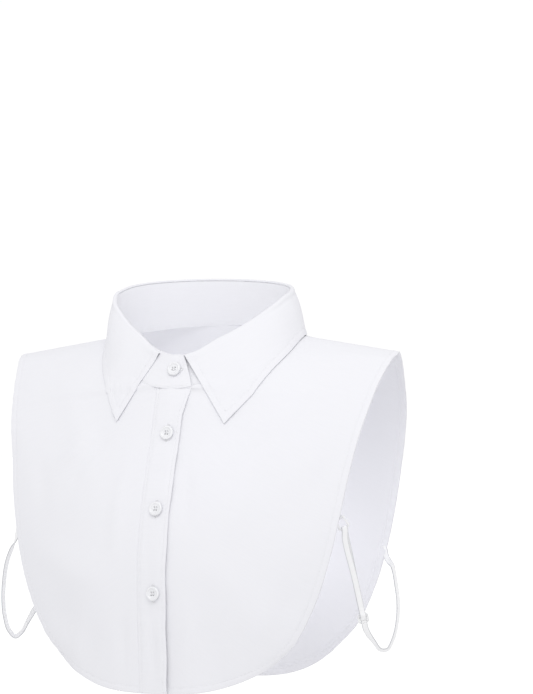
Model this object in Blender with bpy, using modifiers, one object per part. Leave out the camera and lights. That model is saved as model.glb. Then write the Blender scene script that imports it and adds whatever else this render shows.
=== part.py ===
# Detachable shirt collar in its worn form: two fronts, a back, a collar stand, a folded leaf, a placket
# with buttons, and an adjustable elastic strap at each side.
# Metres, +Z up, the front faces -Y and the wearer's left is +X. The origin is the middle of the neck
# opening, at the height where the shoulder seams meet the neck.

import math
from collections import namedtuple

import bmesh
import bpy
import numpy as np
from mathutils import Matrix, Vector
from mathutils.bvhtree import BVHTree

MM = 0.001

# Driving sizes, in millimetres
panelThick = 1.2
placketThick = 1.0
bandThick = 1.4        # the stand and the leaf, which hold an interlining
seamGap = 0.35         # between pieces that are sewn together
layGap = 0.75          # between a panel and what is laid on it
shoulderTilt = 0.5     # the walls' rims lean together at the shoulder seam
neckHalfWidth = 70.0
neckFrontDepth = 70.6
neckBackDepth = 48.0
neckMiddleY = 2.0
neckFrontDrop = 44.6
neckBackRise = 9.0
placketLeft = 12.0     # free edge, past the centre front
placketRight = 12.6    # sewn edge
placketFlare = 3.0     # the free edge swings out under the stand
flareLevels = 0.6      # over this much of a section's step
underlap = 11.7        # the wearer's left front runs on under the placket
rightFrontEdge = 12.1  # the wearer's right front stops where the placket is sewn on
overlapBottom = 16.5   # the stand's button end, at its foot and its top
overlapTop = 9.5
underlapStand = 12.0
standLift = 0.2        # room at the stand's foot for the panel's curve
standLap = 0.25        # room between the stand's two ends at the button
lapAngle = 40.0        # the ends part over this much of the round, fully at the last ten degrees
lapFade = 30.0
leafGapRight = 12.0    # where the leaf starts on each side of the centre front
leafGapLeft = 9.8
leanSide = 1.8         # how far the worn fold leans to the wearer's right
leanTilt = 0.03
leanAngle = 80.0       # the lean grows from the centre front up to here
leafShift = 2.3        # the leaf lies a little to the wearer's left
leafBulge = 2.2        # and bows out as it falls
buttonRadius = 5.75
buttonShift = 0.8      # the panel buttons sit just past the centre front
buttonHoleRadius = 0.75
buttonHoleOffset = 1.35
elasticThick = 3.0
strandGap = 0.2        # half the room between a doubled strap's strands, and how far they bow apart
strandBow = 0.9
ringWire = 0.8
ringOut = 0.6          # where a ring's top sits against the panel's edge
ringIn = 4.9
tabReach = 7.5         # how far a tab runs up the panel's inner face
tabHalfWide = 1.9
tabThick = 0.8
sliderWide = 9.0
sliderTall = 8.0
sliderThick = 2.4
sliderBevel = 0.7
slotWide = 6.4
slotTall = 1.7
slotShift = 1.9

columns = 10           # faces across a half panel
neckRows = 3           # rows of faces for each section beside the neck, and below it
bodyRows = 2
standColumns = 60
leafColumns = 56

# Sections across a half panel, from the shoulder seam down to the hem. neck is the place on the neck
# seam, 1 at the shoulder and 0 at the centre; lower sections start on the centre line instead.
# powerY and powerZ bend a section between its two ends.
Section = namedtuple("Section", "neck centreY centreZ edgeX edgeY edgeZ powerY powerZ")
frontSections = [
    Section(1.00, None, None, 168.3, 0.0, -15.8, 1.0, 1.0),
    Section(0.87, None, None, 167.8, -6.0, -18.0, 1.0, 1.0),
    Section(0.66, None, None, 165.9, -13.5, -23.0, 1.0, 1.0),
    Section(0.33, None, None, 161.3, -28.1, -40.0, 1.0, 1.1),
    Section(0.00, -68.6, -44.6, 157.3, -40.0, -60.0, 1.12, 1.3),
    Section(None, -78.0, -80.3, 152.6, -51.3, -84.0, 1.3, 1.3),
    Section(None, -88.6, -113.0, 147.2, -59.3, -114.0, 1.65, 1.3),
    Section(None, -97.4, -143.0, 142.3, -64.2, -143.0, 1.85, 1.3),
    Section(None, -103.2, -180.0, 135.0, -68.2, -178.0, 2.0, 1.4),
    Section(None, -103.6, -215.0, 124.6, -71.2, -212.0, 2.1, 1.8),
    Section(None, -102.4, -250.0, 110.6, -74.0, -241.0, 2.2, 2.2),
    Section(None, -101.1, -284.2, 94.4, -76.6, -260.0, 2.4, 2.9),
]
backSections = [
    Section(1.00, None, None, 168.3, 0.0, -15.8, 1.0, 1.0),
    Section(0.87, None, None, 167.5, 6.5, -19.0, 1.1, 1.0),
    Section(0.66, None, None, 164.5, 19.7, -28.0, 1.15, 1.0),
    Section(0.33, None, None, 161.0, 33.5, -40.5, 1.2, 1.1),
    Section(0.00, 50.0, 9.0, 157.3, 47.9, -60.0, 1.3, 1.3),
    Section(None, 60.0, -31.0, 152.6, 56.5, -84.0, 1.5, 1.3),
    Section(None, 67.5, -72.0, 147.3, 61.2, -113.0, 1.7, 1.3),
    Section(None, 71.0, -112.0, 142.4, 61.8, -141.0, 1.8, 1.3),
    Section(None, 71.5, -152.0, 136.2, 60.2, -172.0, 1.9, 1.3),
    Section(None, 70.0, -195.0, 127.0, 58.4, -204.0, 2.0, 1.5),
    Section(None, 67.0, -240.0, 112.3, 57.2, -236.5, 2.2, 2.0),
    Section(None, 63.5, -284.5, 90.5, 56.6, -260.5, 2.4, 3.1),
]

# The fold at the top of the stand, on one side: angle round the neck from the centre front, and place
Fold = namedtuple("Fold", "angle x y z")
foldLine = [
    Fold(0, 0.0, -60.0, -18.6),
    Fold(12, 15.1, -54.5, -15.2),
    Fold(25, 29.8, -47.3, -8.2),
    Fold(39, 44.6, -39.8, 0.0),
    Fold(55, 59.9, -29.3, 12.0),
    Fold(70, 69.5, -20.5, 22.0),
    Fold(82, 73.5, -10.0, 29.5),
    Fold(95, 74.0, 1.0, 33.2),
    Fold(110, 71.0, 14.0, 37.2),
    Fold(130, 59.5, 30.5, 41.0),
    Fold(150, 39.0, 43.5, 43.6),
    Fold(165, 20.0, 48.8, 44.7),
    Fold(180, 0.0, 50.0, 45.0),
]
# The leaf's lower edge on one side, from the point at the front round to the back, before it is laid
# on the panels
leafEdge = [
    Fold(8, 47.3, -75.5, -70.8),
    Fold(20, 54.8, -64.0, -61.0),
    Fold(32, 63.8, -54.0, -49.5),
    Fold(45, 73.2, -40.5, -34.0),
    Fold(60, 81.2, -26.0, -19.5),
    Fold(75, 84.0, -12.0, -8.8),
    Fold(92, 84.0, 3.5, -3.4),
    Fold(110, 77.5, 19.5, -2.0),
    Fold(130, 63.5, 37.5, -0.8),
    Fold(150, 43.0, 50.5, 0.8),
    Fold(165, 21.5, 54.5, 1.8),
    Fold(180, 0.0, 55.5, 2.2),
]
# How far the leaf stands off its fold before it falls: out from the stand, and up
leafRoll = [(0.0, 1.3), (1.3, 1.5), (2.4, 0.8), (3.1, -0.8)]

# Heights of the panel buttons' centres on the centre front
buttonHeights = [-80.3, -139.8, -205.5]
standButtonShare = 0.56    # how far up the stand its button sits

# A button's profile from its middle out, over the rim and back: radius and height
buttonProfile = [(0, 1.5), (3.6, 1.5), (4.3, 2.3), (5.2, 2.3), (buttonRadius, 1.4), (4.9, 0.0), (0, 0)]
# Half of a ring's outline, narrow where the tab holds it: distance along the strap, and across
ringHalf = [(-0.4, 2.6), (0.0, 3.2), (1.0, 3.7), (7.6, 4.6), (8.6, 4.2), (9.0, 3.3)]
# How a ring hangs from its edge: shares of outward, along the edge and inward
ringHang = (0.55, 0.75, 0.3)

# The elastic's free stretch at each side, between its slider and the far panel's edge
leftLoop = [
    (149.0, -6.0, -246.5), (152.0, 1.0, -253.0), (155.0, 8.0, -253.2), (157.4, 15.0, -245.5),
    (158.3, 22.0, -232.5), (156.5, 29.5, -219.0), (151.5, 38.5, -204.0), (145.5, 47.0, -190.5),
]
rightLoop = [
    (-160.5, 3.5, -232.0), (-162.5, -3.5, -240.5), (-164.3, -10.5, -248.5), (-166.5, -17.5, -251.5),
    (-168.7, -24.5, -246.0), (-169.2, -31.0, -234.0), (-167.5, -37.0, -220.5), (-163.0, -44.0, -203.5),
    (-156.5, -51.0, -187.0), (-148.5, -56.5, -174.0),
]
leftSlider = (145.6, -21.5, -226.5)
rightSlider = (-157.2, 12.8, -221.5)
ringHeightLeft = -146.0    # where each strap's ring hangs on its panel's edge
ringHeightRight = -168.0
sewnHeightLeft = -178.0    # where the elastic's other end is sewn inside the far panel's edge
sewnHeightRight = -160.5
sewnLength = 3.0

Frame = namedtuple("Frame", "place down wide thick")


def material(name, colour, roughness, metallic=0.0):
    made = bpy.data.materials.new(name)
    made.use_nodes = True
    shader = made.node_tree.nodes["Principled BSDF"]
    shader.inputs["Base Color"].default_value = (*colour, 1.0)
    shader.inputs["Roughness"].default_value = roughness
    shader.inputs["Metallic"].default_value = metallic
    return made


def hermite(stations, values, where):
    """A smooth curve through values at stations, read at where."""
    stations = np.asarray(stations, float)
    values = np.asarray(values, float)
    slopes = np.gradient(values, stations, axis=0)
    i = np.clip(np.searchsorted(stations, where, side="right") - 1, 0, len(stations) - 2)
    width = stations[i + 1] - stations[i]
    t = (where - stations[i]) / width
    return ((1 + 2 * t) * (1 - t) ** 2 * values[i] + t * (1 - t) ** 2 * width * slopes[i]
            + t * t * (3 - 2 * t) * values[i + 1] - t * t * (1 - t) * width * slopes[i + 1])


def neckPoint(angle):
    """A point of the neck seam, its angle counted in degrees from the centre front."""
    turn = math.radians(angle)
    side, ahead = math.sin(turn), math.cos(turn)
    if ahead >= 0:
        return np.array([neckHalfWidth * side, neckMiddleY - neckFrontDepth * ahead,
                         -neckFrontDrop * ahead ** 1.3])
    return np.array([neckHalfWidth * side, neckMiddleY - neckBackDepth * ahead,
                     neckBackRise * (-ahead) ** 1.3])


def roundTable(table, angle):
    """A point of a half table that is mirrored to the other side, at any angle."""
    turn = (angle + 180.0) % 360.0 - 180.0
    side = -1.0 if turn < 0 else 1.0
    rows = [Fold(-r.angle, -r.x, r.y, r.z) for r in reversed(table[1:3]) if table[0].angle == 0]
    rows += list(table) + [Fold(360.0 - r.angle, -r.x, r.y, r.z) for r in table[-2:-4:-1]]
    at = max(abs(turn), table[0].angle)
    point = hermite([r.angle for r in rows], [(r.x, r.y, r.z) for r in rows], at)
    return point * np.array([side, 1.0, 1.0])


def foldPoint(angle):
    """A point of the fold. The worn collar leans a little to the wearer's right, more so at the back."""
    point = roundTable(foldLine, angle)
    turn = abs((angle + 180.0) % 360.0 - 180.0)
    return point + np.array([-leanSide, 0.0, -leanTilt * point[0]]) * min(1.0, turn / leanAngle)


def foldAngle(x):
    """The angle at which the fold's front is x millimetres from the centre."""
    return x / foldLine[1].x * foldLine[1].angle


def sectionPoint(sections, level, x=None, share=None, behind=False, inner=0.0):
    """A point of a half panel: on the section at level, at x or at a share of the section's length."""
    stations = np.arange(len(sections), dtype=float)
    edge = hermite(stations, [(s.edgeX, s.edgeY, s.edgeZ) for s in sections], level)
    powerY = hermite(stations, [s.powerY for s in sections], level)
    powerZ = hermite(stations, [s.powerZ for s in sections], level)
    onNeck = [i for i, s in enumerate(sections) if s.neck is not None]
    if level < onNeck[-1] - 0.0001:
        place = float(hermite(stations[onNeck], [sections[i].neck for i in onNeck], level))
        last = math.degrees(math.asin(inner / neckHalfWidth))
        angle = last + (90.0 - last) * place
        start = neckPoint(180.0 - angle if behind else angle)
        along = share
        x = start[0] + (edge[0] - start[0]) * along
    else:
        onCentre = [i for i, s in enumerate(sections) if s.centreY is not None]
        centre = hermite(stations[onCentre],
                         [(sections[i].centreY, sections[i].centreZ) for i in onCentre], level)
        start = np.array([0.0, centre[0], centre[1]])
        x = inner + (edge[0] - inner) * share if x is None else x
        along = abs(x) / edge[0]
    return np.array([x, start[1] + (edge[1] - start[1]) * along ** powerY,
                     start[2] + (edge[2] - start[2]) * along ** powerZ])


def panelLevels(sections):
    """The levels of a half panel's rows, closer together beside the neck, and the last one there."""
    foot = max(i for i, s in enumerate(sections) if s.neck is not None)
    last = len(sections) - 1
    beside = [*np.linspace(0, foot, foot * neckRows + 1)]
    return beside + [*np.linspace(foot, last, (last - foot) * bodyRows + 1)[1:]], len(beside) - 1


def halfPanel(sections, inner, behind=False, side=1.0):
    """The grid of a half panel's points, in millimetres, rows from the shoulder to the hem."""
    shares = np.linspace(0, 1, columns + 1)
    grid = np.array([[sectionPoint(sections, v, share=s, behind=behind, inner=inner) for s in shares]
                     for v in panelLevels(sections)[0]])
    grid[..., 0] *= side
    return grid


def withUnderlap(grid):
    """The wearer's left front again, with a strip past the centre that lies under the placket. The
    strip starts below the neck seam, so the columns above it are left without faces."""
    levels, foot = panelLevels(frontSections)
    strip = [[sectionPoint(frontSections, max(v, levels[foot] + 0.001), x=x)
              for x in (-underlap, -underlap / 2)] for v in levels]
    return np.concatenate([np.array(strip), grid], axis=1), foot


def normals(grid):
    """Unit normals at a grid's points."""
    across = np.gradient(grid, axis=1)
    along = np.gradient(grid, axis=0)
    out = np.cross(along, across)
    return out / np.linalg.norm(out, axis=2, keepdims=True)


def collection(name):
    made = bpy.data.collections.new(name)
    bpy.context.scene.collection.children.link(made)
    return made


def meshObject(name, vertices, faces, look, group):
    mesh = bpy.data.meshes.new(name)
    mesh.from_pydata([tuple(v) for v in vertices], [], faces)
    mesh.materials.append(look)
    mesh.shade_smooth()
    made = bpy.data.objects.new(name, mesh)
    group.objects.link(made)
    return made


def gridFaces(rows, cols, bareRows=0, bareColumns=0):
    """The faces of a grid, but for a bare corner at its first rows and columns."""
    return [(r * cols + c, r * cols + c + 1, (r + 1) * cols + c + 1, (r + 1) * cols + c)
            for r in range(rows - 1) for c in range(cols - 1) if r >= bareRows or c >= bareColumns]


def wall(name, grid, thickness, look, group, mirrored=False, bareRows=0, bareColumns=0):
    """A cloth wall: the open surface of a grid of points, given its thickness to both sides."""
    faces = gridFaces(*grid.shape[:2], bareRows, bareColumns)
    used = sorted({i for face in faces for i in face})
    place = {old: new for new, old in enumerate(used)}
    faces = [tuple(place[i] for i in face) for face in faces]
    made = meshObject(name, grid.reshape(-1, 3)[used] * MM, faces, look, group)
    if mirrored:
        mirror = made.modifiers.new("other half", "MIRROR")
        mirror.merge_threshold = 0.0001
        mirror.use_clip = True
    solid = made.modifiers.new("cloth", "SOLIDIFY")
    solid.thickness = thickness * MM
    solid.offset = 0.0
    solid.use_even_offset = True
    return made


def tube(name, points, thickness, look, group, closed=False):
    """A round tube along a polyline given in millimetres."""
    curve = bpy.data.curves.new(name, "CURVE")
    curve.dimensions = "3D"
    curve.bevel_depth = thickness * MM / 2
    curve.bevel_resolution = 2
    curve.use_fill_caps = not closed
    spline = curve.splines.new("POLY")
    spline.points.add(len(points) - 1)
    for point, place in zip(spline.points, points):
        point.co = (*(np.asarray(place) * MM), 1.0)
    spline.use_cyclic_u = closed
    curve.materials.append(look)
    made = bpy.data.objects.new(name, curve)
    group.objects.link(made)
    return made


def route(points, step):
    """Points about step apart on a smooth curve through the given ones."""
    points = np.asarray(points, float)
    stations = np.concatenate([[0], np.cumsum(np.linalg.norm(np.diff(points, axis=0), axis=1))])
    count = max(2, round(stations[-1] / step) + 1)
    return np.array([hermite(stations, points, at) for at in np.linspace(0, stations[-1], count)])


def unit(vector):
    return np.asarray(vector, float) / np.linalg.norm(vector)


def placketGrid():
    """The placket: points of the front at the centre, moved out to lie on both fronts."""
    first = next(i for i, s in enumerate(frontSections) if s.centreY is not None)
    levels = np.linspace(first + 0.001, len(frontSections) - 1, (len(frontSections) - 1 - first) * 2 + 1)
    rows = []
    for level in levels:
        flare = placketFlare * max(0.0, 1.0 - (level - first) / flareLevels)
        xs = np.linspace(-placketRight, placketLeft + flare, 5)
        rows.append([sectionPoint(frontSections, level, x=x) for x in xs])
    grid = np.array(rows)
    return grid + normals(grid) * (panelThick / 2 + layGap + placketThick / 2)


def standGrid():
    """The stand: from its button end over the front, round the back, to the end that lies under."""
    first = [math.degrees(math.asin(overlapBottom / neckHalfWidth)), foldAngle(overlapTop)]
    last = -360.0 - math.degrees(math.asin(underlapStand / neckHalfWidth))
    rows = []
    for share in (0.0, 0.25, 0.5, 0.75, 1.0):
        start = first[0] + (first[1] - first[0]) * share
        row = []
        for angle in np.linspace(start, last, standColumns + 1):
            foot, top = neckPoint(angle), foldPoint(angle)
            rise = unit(top - foot)
            lift = seamGap + standLift + panelThick / 2 * abs(math.sin(math.radians(angle)))
            point = foot + rise * lift + (top - foot - rise * lift) * share
            outward = unit(np.cross(rise, np.cross([point[0], point[1], 0.0], rise)))
            over = max(0.0, min(1.0, (angle + lapAngle) / lapFade))
            under = max(0.0, min(1.0, (lapAngle - 360.0 - angle) / lapFade))
            row.append(point + outward * (bandThick / 2 + standLap) * (over - under))
        rows.append(row)
    return np.array(rows)


def movedOut(point, panels, clear):
    """A point, moved off the panels where it is nearer to them than clear, or behind them."""
    place, normal, _, _ = panels.find_nearest(Vector(point * MM))
    place, facing = np.array(place) / MM, np.array(normal)
    facing = facing if facing @ np.array([place[0], place[1], neckHalfWidth]) > 0 else -facing
    short = clear - (point - place) @ facing
    return point + facing * max(0.0, short)


def leafGrid(panels):
    """The leaf: rolled over the fold, then falling to an edge that is laid on the panels."""
    clear = panelThick / 2 + layGap + bandThick / 2
    grid = []
    for angle in np.linspace(-foldAngle(leafGapRight), foldAngle(leafGapLeft) - 360.0, leafColumns + 1):
        top = foldPoint(angle)
        edge = roundTable(leafEdge, angle) + np.array([leafShift, 0.0, 0.0])
        along = foldPoint(angle + 1.0) - foldPoint(angle - 1.0)
        outward = unit(np.cross(along, top - neckPoint(angle)))
        upward = unit(np.cross(outward, along))
        edge = movedOut(edge, panels, clear)
        rib = [top + outward * out + upward * up for out, up in leafRoll]
        start = rib[-1]
        for share in (0.2, 0.4, 0.6, 0.8, 1.0):
            bulge = outward * leafBulge * math.sin(math.pi * share) * (1 - share)
            rib.append(movedOut(start + (edge - start) * share + bulge, panels, clear))
        grid.append(rib)
    return np.array(grid).transpose(1, 0, 2)


def buttonMesh(look, cutters):
    """One four-hole button, turned from its profile, face up on the origin."""
    mesh = bpy.data.meshes.new("button profile")
    mesh.from_pydata([(r * MM, 0, z * MM) for r, z in buttonProfile],
                     [(i, i + 1) for i in range(len(buttonProfile) - 1)], [])
    turned = bpy.data.objects.new("button profile", mesh)
    cutters.objects.link(turned)
    screw = turned.modifiers.new("turned", "SCREW")
    screw.steps = screw.render_steps = 16
    screw.use_merge_vertices = True
    screw.merge_threshold = 0.0001
    holes = bmesh.new()
    for turn in range(4):
        around = math.radians(45 + 90 * turn)
        shift = Vector((math.cos(around), math.sin(around), 0)) * buttonHoleOffset * MM
        bmesh.ops.create_cone(holes, cap_ends=True, segments=6, radius1=buttonHoleRadius * MM,
                              radius2=buttonHoleRadius * MM, depth=8 * MM,
                              matrix=Matrix.Translation(shift))
    holeMesh = bpy.data.meshes.new("button holes")
    holes.to_mesh(holeMesh)
    holes.free()
    cutter = bpy.data.objects.new("button holes", holeMesh)
    cutters.objects.link(cutter)
    drill = turned.modifiers.new("holes", "BOOLEAN")
    drill.operation = "DIFFERENCE"
    drill.object = cutter
    bpy.context.view_layer.update()
    made = bpy.data.meshes.new_from_object(turned.evaluated_get(bpy.context.evaluated_depsgraph_get()))
    made.name = "button"
    made.materials.clear()
    made.materials.append(look)
    bpy.data.objects.remove(turned)
    bpy.data.objects.remove(cutter)
    return made


def placeButton(name, mesh, place, outward, group):
    made = bpy.data.objects.new(name, mesh)
    facing = Vector(unit(outward)).to_track_quat("Z", "Y").to_matrix().to_4x4()
    made.matrix_world = Matrix.Translation(Vector(place * MM)) @ facing
    group.objects.link(made)
    return made


def edgeFrame(sections, height, side, behind):
    """Where a strap's ring hangs inside a panel's edge: its place and its directions."""
    levels = np.linspace(4, len(sections) - 1, 400)
    heights = [sectionPoint(sections, v, share=1.0, behind=behind)[2] for v in levels]
    level = float(np.interp(-height, -np.array(heights), levels))
    edge, near = (sectionPoint(sections, level, share=s, behind=behind) for s in (1.0, 0.96))
    below = sectionPoint(sections, level + 0.2, share=1.0, behind=behind)
    mirrored = np.array([side, 1.0, 1.0])
    edge, near, below = edge * mirrored, near * mirrored, below * mirrored
    down = unit(below - edge)
    out = unit(edge - near)
    inward = unit(np.cross(down, out))
    inward = inward if inward @ np.array([0.0, -edge[1], 0.0]) > 0 else -inward
    return edge, down, out, inward


def ringFrame(sections, height, side, behind):
    edge, down, out, inward = edgeFrame(sections, height, side, behind)
    hang = unit(out * ringHang[0] + down * ringHang[1] + inward * ringHang[2])
    wide = unit(np.cross(inward, hang))
    return Frame(edge + out * ringOut + inward * ringIn, hang, wide, unit(np.cross(hang, wide)))


def inFrame(frame, down, wide, thick):
    return frame.place + frame.down * down + frame.wide * wide + frame.thick * thick


def ringOutline(frame):
    """A ring's centre line: its half outline, and the other half mirrored."""
    loop = ringHalf + [(down, -wide) for down, wide in reversed(ringHalf)]
    return [inFrame(frame, down, wide, 0.0) for down, wide in loop]


def tabGrid(frame):
    """A strip of cloth folded through the ring, its two ends against the panel's inner face."""
    fold = ringWire + tabThick
    upper = [(-tabReach, tabThick), (-tabReach / 2, tabThick), (-fold, tabThick + 0.2), (0.0, fold)]
    turned = [(fold * math.sin(a) + ringHalf[0][0], fold * math.cos(a))
              for a in np.radians([30, 60, 90, 120, 150])]
    path = upper + turned + [(down, -thick) for down, thick in reversed(upper)]
    return np.array([[inFrame(frame, down, wide, thick) for wide in (-tabHalfWide, 0.0, tabHalfWide)]
                     for down, thick in path])


def slider(name, place, down, thick, look, group, cutters):
    """A flat two-slot slider. The elastic is threaded through its slots."""
    wide = unit(np.cross(thick, down))
    turn = Matrix([list(wide), list(unit(down)), list(thick)]).transposed().to_4x4()
    mesh = bpy.data.meshes.new(name)
    shape = bmesh.new()
    bmesh.ops.create_cube(shape, size=1.0, matrix=Matrix.Diagonal(
        (sliderWide * MM, sliderTall * MM, sliderThick * MM, 1.0)))
    shape.to_mesh(mesh)
    shape.free()
    mesh.materials.append(look)
    made = bpy.data.objects.new(name, mesh)
    made.matrix_world = Matrix.Translation(Vector(place * MM)) @ turn
    group.objects.link(made)
    edge = made.modifiers.new("rounded", "BEVEL")
    edge.width = sliderBevel * MM
    edge.segments = 1
    for slot, shift in (("upper", -slotShift), ("lower", slotShift)):
        box = bmesh.new()
        bmesh.ops.create_cube(box, size=1.0, matrix=Matrix.Translation((0, shift * MM, 0))
                              @ Matrix.Diagonal((slotWide * MM, slotTall * MM, sliderTall * MM, 1.0)))
        boxMesh = bpy.data.meshes.new(name + " slot")
        box.to_mesh(boxMesh)
        box.free()
        cutter = bpy.data.objects.new(name + " " + slot + " slot", boxMesh)
        cutter.matrix_world = made.matrix_world
        cutter.hide_render = True
        cutter.display_type = "WIRE"
        cutters.objects.link(cutter)
        cut = made.modifiers.new(slot + " slot", "BOOLEAN")
        cut.operation = "DIFFERENCE"
        cut.object = cutter
    return made


def strap(side, behind, heights, sliderPlace, loop, looks, group, cutters):
    """A strap's tab, ring, doubled stretch, slider and free stretch. The ring hangs on the front panel,
    or behind on the back panel, and the free stretch is sewn to the other one."""
    elastic, plastic, cloth = looks
    sign = 1.0 if side == "left" else -1.0
    near, far = (backSections, frontSections) if behind else (frontSections, backSections)
    frame = ringFrame(near, heights[0], sign, behind)
    wall("strap_tab_" + side, tabGrid(frame), tabThick, cloth, group)
    tube("strap_ring_" + side, ringOutline(frame), 2 * ringWire, plastic, group, closed=True)
    start = inFrame(frame, ringHalf[-1][0] + ringWire + seamGap, 0.0, 0.0)
    sliderPlace = np.array(sliderPlace)
    down = unit(sliderPlace - start)
    thick = unit(frame.thick - down * (frame.thick @ down))
    slider("strap_slider_" + side, sliderPlace, down, thick, plastic, group, cutters)
    end = sliderPlace - down * (sliderTall / 2 + seamGap)
    spread = elasticThick / 2 + strandGap
    for name, shift in (("strap_doubled_", 1.0), ("strap_return_", -1.0)):
        line = [start + (end - start) * t + thick * shift * (spread + strandBow * math.sin(math.pi * t) ** 2)
                for t in np.linspace(0, 1, 9)]
        tube(name + side, line, elasticThick, elastic, group)
    edge, _, out, inward = edgeFrame(far, heights[1], sign, not behind)
    sewn = edge + inward * (panelThick / 2 + seamGap + elasticThick / 2)
    foot = sliderPlace + down * (sliderTall / 2 + seamGap)
    line = [foot, foot + down * elasticThick, *loop, sewn + out, sewn - out * sewnLength]
    tube("strap_loop_" + side, route(line, elasticThick * 2), elasticThick, elastic, group)


def build():
    for old in list(bpy.data.objects):
        bpy.data.objects.remove(old)
    group = collection("detachable shirt collar")
    cutters = collection("cutters")
    poplin = material("white cotton poplin", (0.86, 0.86, 0.87), 0.85)
    elastic = material("white elastic", (0.80, 0.80, 0.81), 0.8)
    plastic = material("white acetal", (0.84, 0.84, 0.84), 0.4)
    button = material("pearly polyester", (0.82, 0.82, 0.83), 0.25)

    left = halfPanel(frontSections, 0.0)
    right = halfPanel(frontSections, rightFrontEdge, side=-1.0)
    back = halfPanel(backSections, 0.0, behind=True)
    back[0, :, 1] += seamGap + shoulderTilt
    lapped, foot = withUnderlap(left)
    wall("front_left", lapped, panelThick, poplin, group, bareRows=foot, bareColumns=2)
    wall("front_right", right, panelThick, poplin, group)
    wall("back", back, panelThick, poplin, group, mirrored=True)

    placket = placketGrid()
    wall("placket", placket, placketThick, poplin, group)
    stand = standGrid()
    wall("collar_stand", stand, bandThick, poplin, group)

    panelPoints, panelFaces = [], []
    for grid in (left, right, back, back * np.array([-1.0, 1.0, 1.0])):
        base = len(panelPoints)
        panelPoints += [tuple(p * MM) for p in grid.reshape(-1, 3)]
        panelFaces += [tuple(base + i for i in f) for f in gridFaces(*grid.shape[:2])]
    panels = BVHTree.FromPolygons(panelPoints, panelFaces)
    wall("collar_leaf", leafGrid(panels), bandThick, poplin, group)

    mesh = buttonMesh(button, cutters)
    middle = placket[:, 2]
    outward = normals(placket)[:, 2]
    for number, height in enumerate(buttonHeights, start=2):
        place = np.array([np.interp(-height, -middle[:, 2], middle[:, k]) for k in range(3)])
        facing = np.array([np.interp(-height, -middle[:, 2], outward[:, k]) for k in range(3)])
        place = place + unit(facing) * (placketThick / 2 + seamGap)
        place[0] = buttonShift
        placeButton("button_%d" % number, mesh, place, facing, group)
    foot, top = neckPoint(0.0), foldPoint(0.0)
    facing = unit(np.cross([1.0, 0.0, 0.0], top - foot))
    facing = facing if facing[1] < 0 else -facing
    place = foot + (top - foot) * standButtonShare + facing * (bandThick + standLap + seamGap)
    placeButton("button_1", mesh, place, facing, group)

    looks = (elastic, plastic, poplin)
    strap("left", False, (ringHeightLeft, sewnHeightLeft), leftSlider, leftLoop, looks, group, cutters)
    strap("right", True, (ringHeightRight, sewnHeightRight), rightSlider, rightLoop, looks, group, cutters)


build()
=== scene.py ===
# Detachable shirt collar in white cotton poplin, as worn: its cloth, seams, buttons and elastic straps.
# Sizes are in millimetres until a mesh is made; the wearer's left is +X and the front faces -Y.
import math
from collections import namedtuple

import bmesh
import bpy
import numpy as np
from mathutils import Matrix, Vector
from mathutils.bvhtree import BVHTree


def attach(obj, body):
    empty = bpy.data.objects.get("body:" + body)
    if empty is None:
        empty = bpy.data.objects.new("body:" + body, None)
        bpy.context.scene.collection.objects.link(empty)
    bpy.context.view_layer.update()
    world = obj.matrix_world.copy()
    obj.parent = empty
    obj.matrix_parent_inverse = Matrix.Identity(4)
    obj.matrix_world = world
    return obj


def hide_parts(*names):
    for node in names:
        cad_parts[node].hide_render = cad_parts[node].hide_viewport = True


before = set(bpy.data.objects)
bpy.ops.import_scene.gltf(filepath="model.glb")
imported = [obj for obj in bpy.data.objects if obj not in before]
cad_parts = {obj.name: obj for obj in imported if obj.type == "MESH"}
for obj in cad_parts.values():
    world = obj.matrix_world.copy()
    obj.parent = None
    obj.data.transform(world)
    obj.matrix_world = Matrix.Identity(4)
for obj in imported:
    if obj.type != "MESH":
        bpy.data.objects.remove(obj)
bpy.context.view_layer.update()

mm = 0.001

cameraPlan = {
    "azimuth": 24.0,          # degrees round to the wearer's left of straight ahead
    "distance": 2200.0,
    "height": -54.1,
    "pixel": 0.82,            # millimetres on the object's plane that one pixel covers
    "aim": (206.0, 400.0),    # the pixel where the level line from the camera meets the picture
    "picture": (533.0, 694.0),
    "sensor": 36.0,
    "clip": (0.1, 100.0),     # metres
}


def newObject(name, data):
    made = bpy.data.objects.new(name, data)
    bpy.context.scene.collection.objects.link(made)
    return made


def makeCamera(plan):
    turn = math.radians(plan["azimuth"])
    focal = plan["distance"] / plan["pixel"]
    data = bpy.data.cameras.new("camera")
    data.sensor_width = plan["sensor"]
    data.lens = focal / plan["picture"][1] * plan["sensor"]
    data.clip_start, data.clip_end = plan["clip"]
    made = newObject("camera", data)
    ahead = Vector((-math.sin(turn), math.cos(turn), 0.0))
    right = Vector((math.cos(turn), math.sin(turn), 0.0))
    # turned right and up, so that the collar sits low and left as in the picture
    sight = ahead * focal + right * (plan["picture"][0] / 2 - plan["aim"][0])
    sight += Vector((0, 0, 1)) * (plan["aim"][1] - plan["picture"][1] / 2)
    made.location = (-ahead * plan["distance"] + Vector((0, 0, plan["height"]))) * mm
    made.rotation_mode = "QUATERNION"
    made.rotation_quaternion = sight.to_track_quat("-Z", "Y")
    bpy.context.scene.camera = made


makeCamera(cameraPlan)
print("camera made")


def linear(hexColour):  # an sRGB colour as linear light
    parts = [int(hexColour[i:i + 2], 16) / 255 for i in (1, 3, 5)]
    return (*[c / 12.92 if c <= 0.04045 else ((c + 0.055) / 1.055) ** 2.4 for c in parts], 1.0)


def linkUp(tree, node, links):  # a node's inputs, each from another node's output or a fixed value
    for name, value in links.items():
        if isinstance(value, bpy.types.NodeSocket):
            tree.links.new(value, node.inputs[name])
        else:
            node.inputs[name].default_value = value


def addNode(tree, kind, links=None, **settings):
    made = tree.nodes.new(kind)
    for name, value in settings.items():
        setattr(made, name, value)
    linkUp(tree, made, links or {})
    return made


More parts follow.
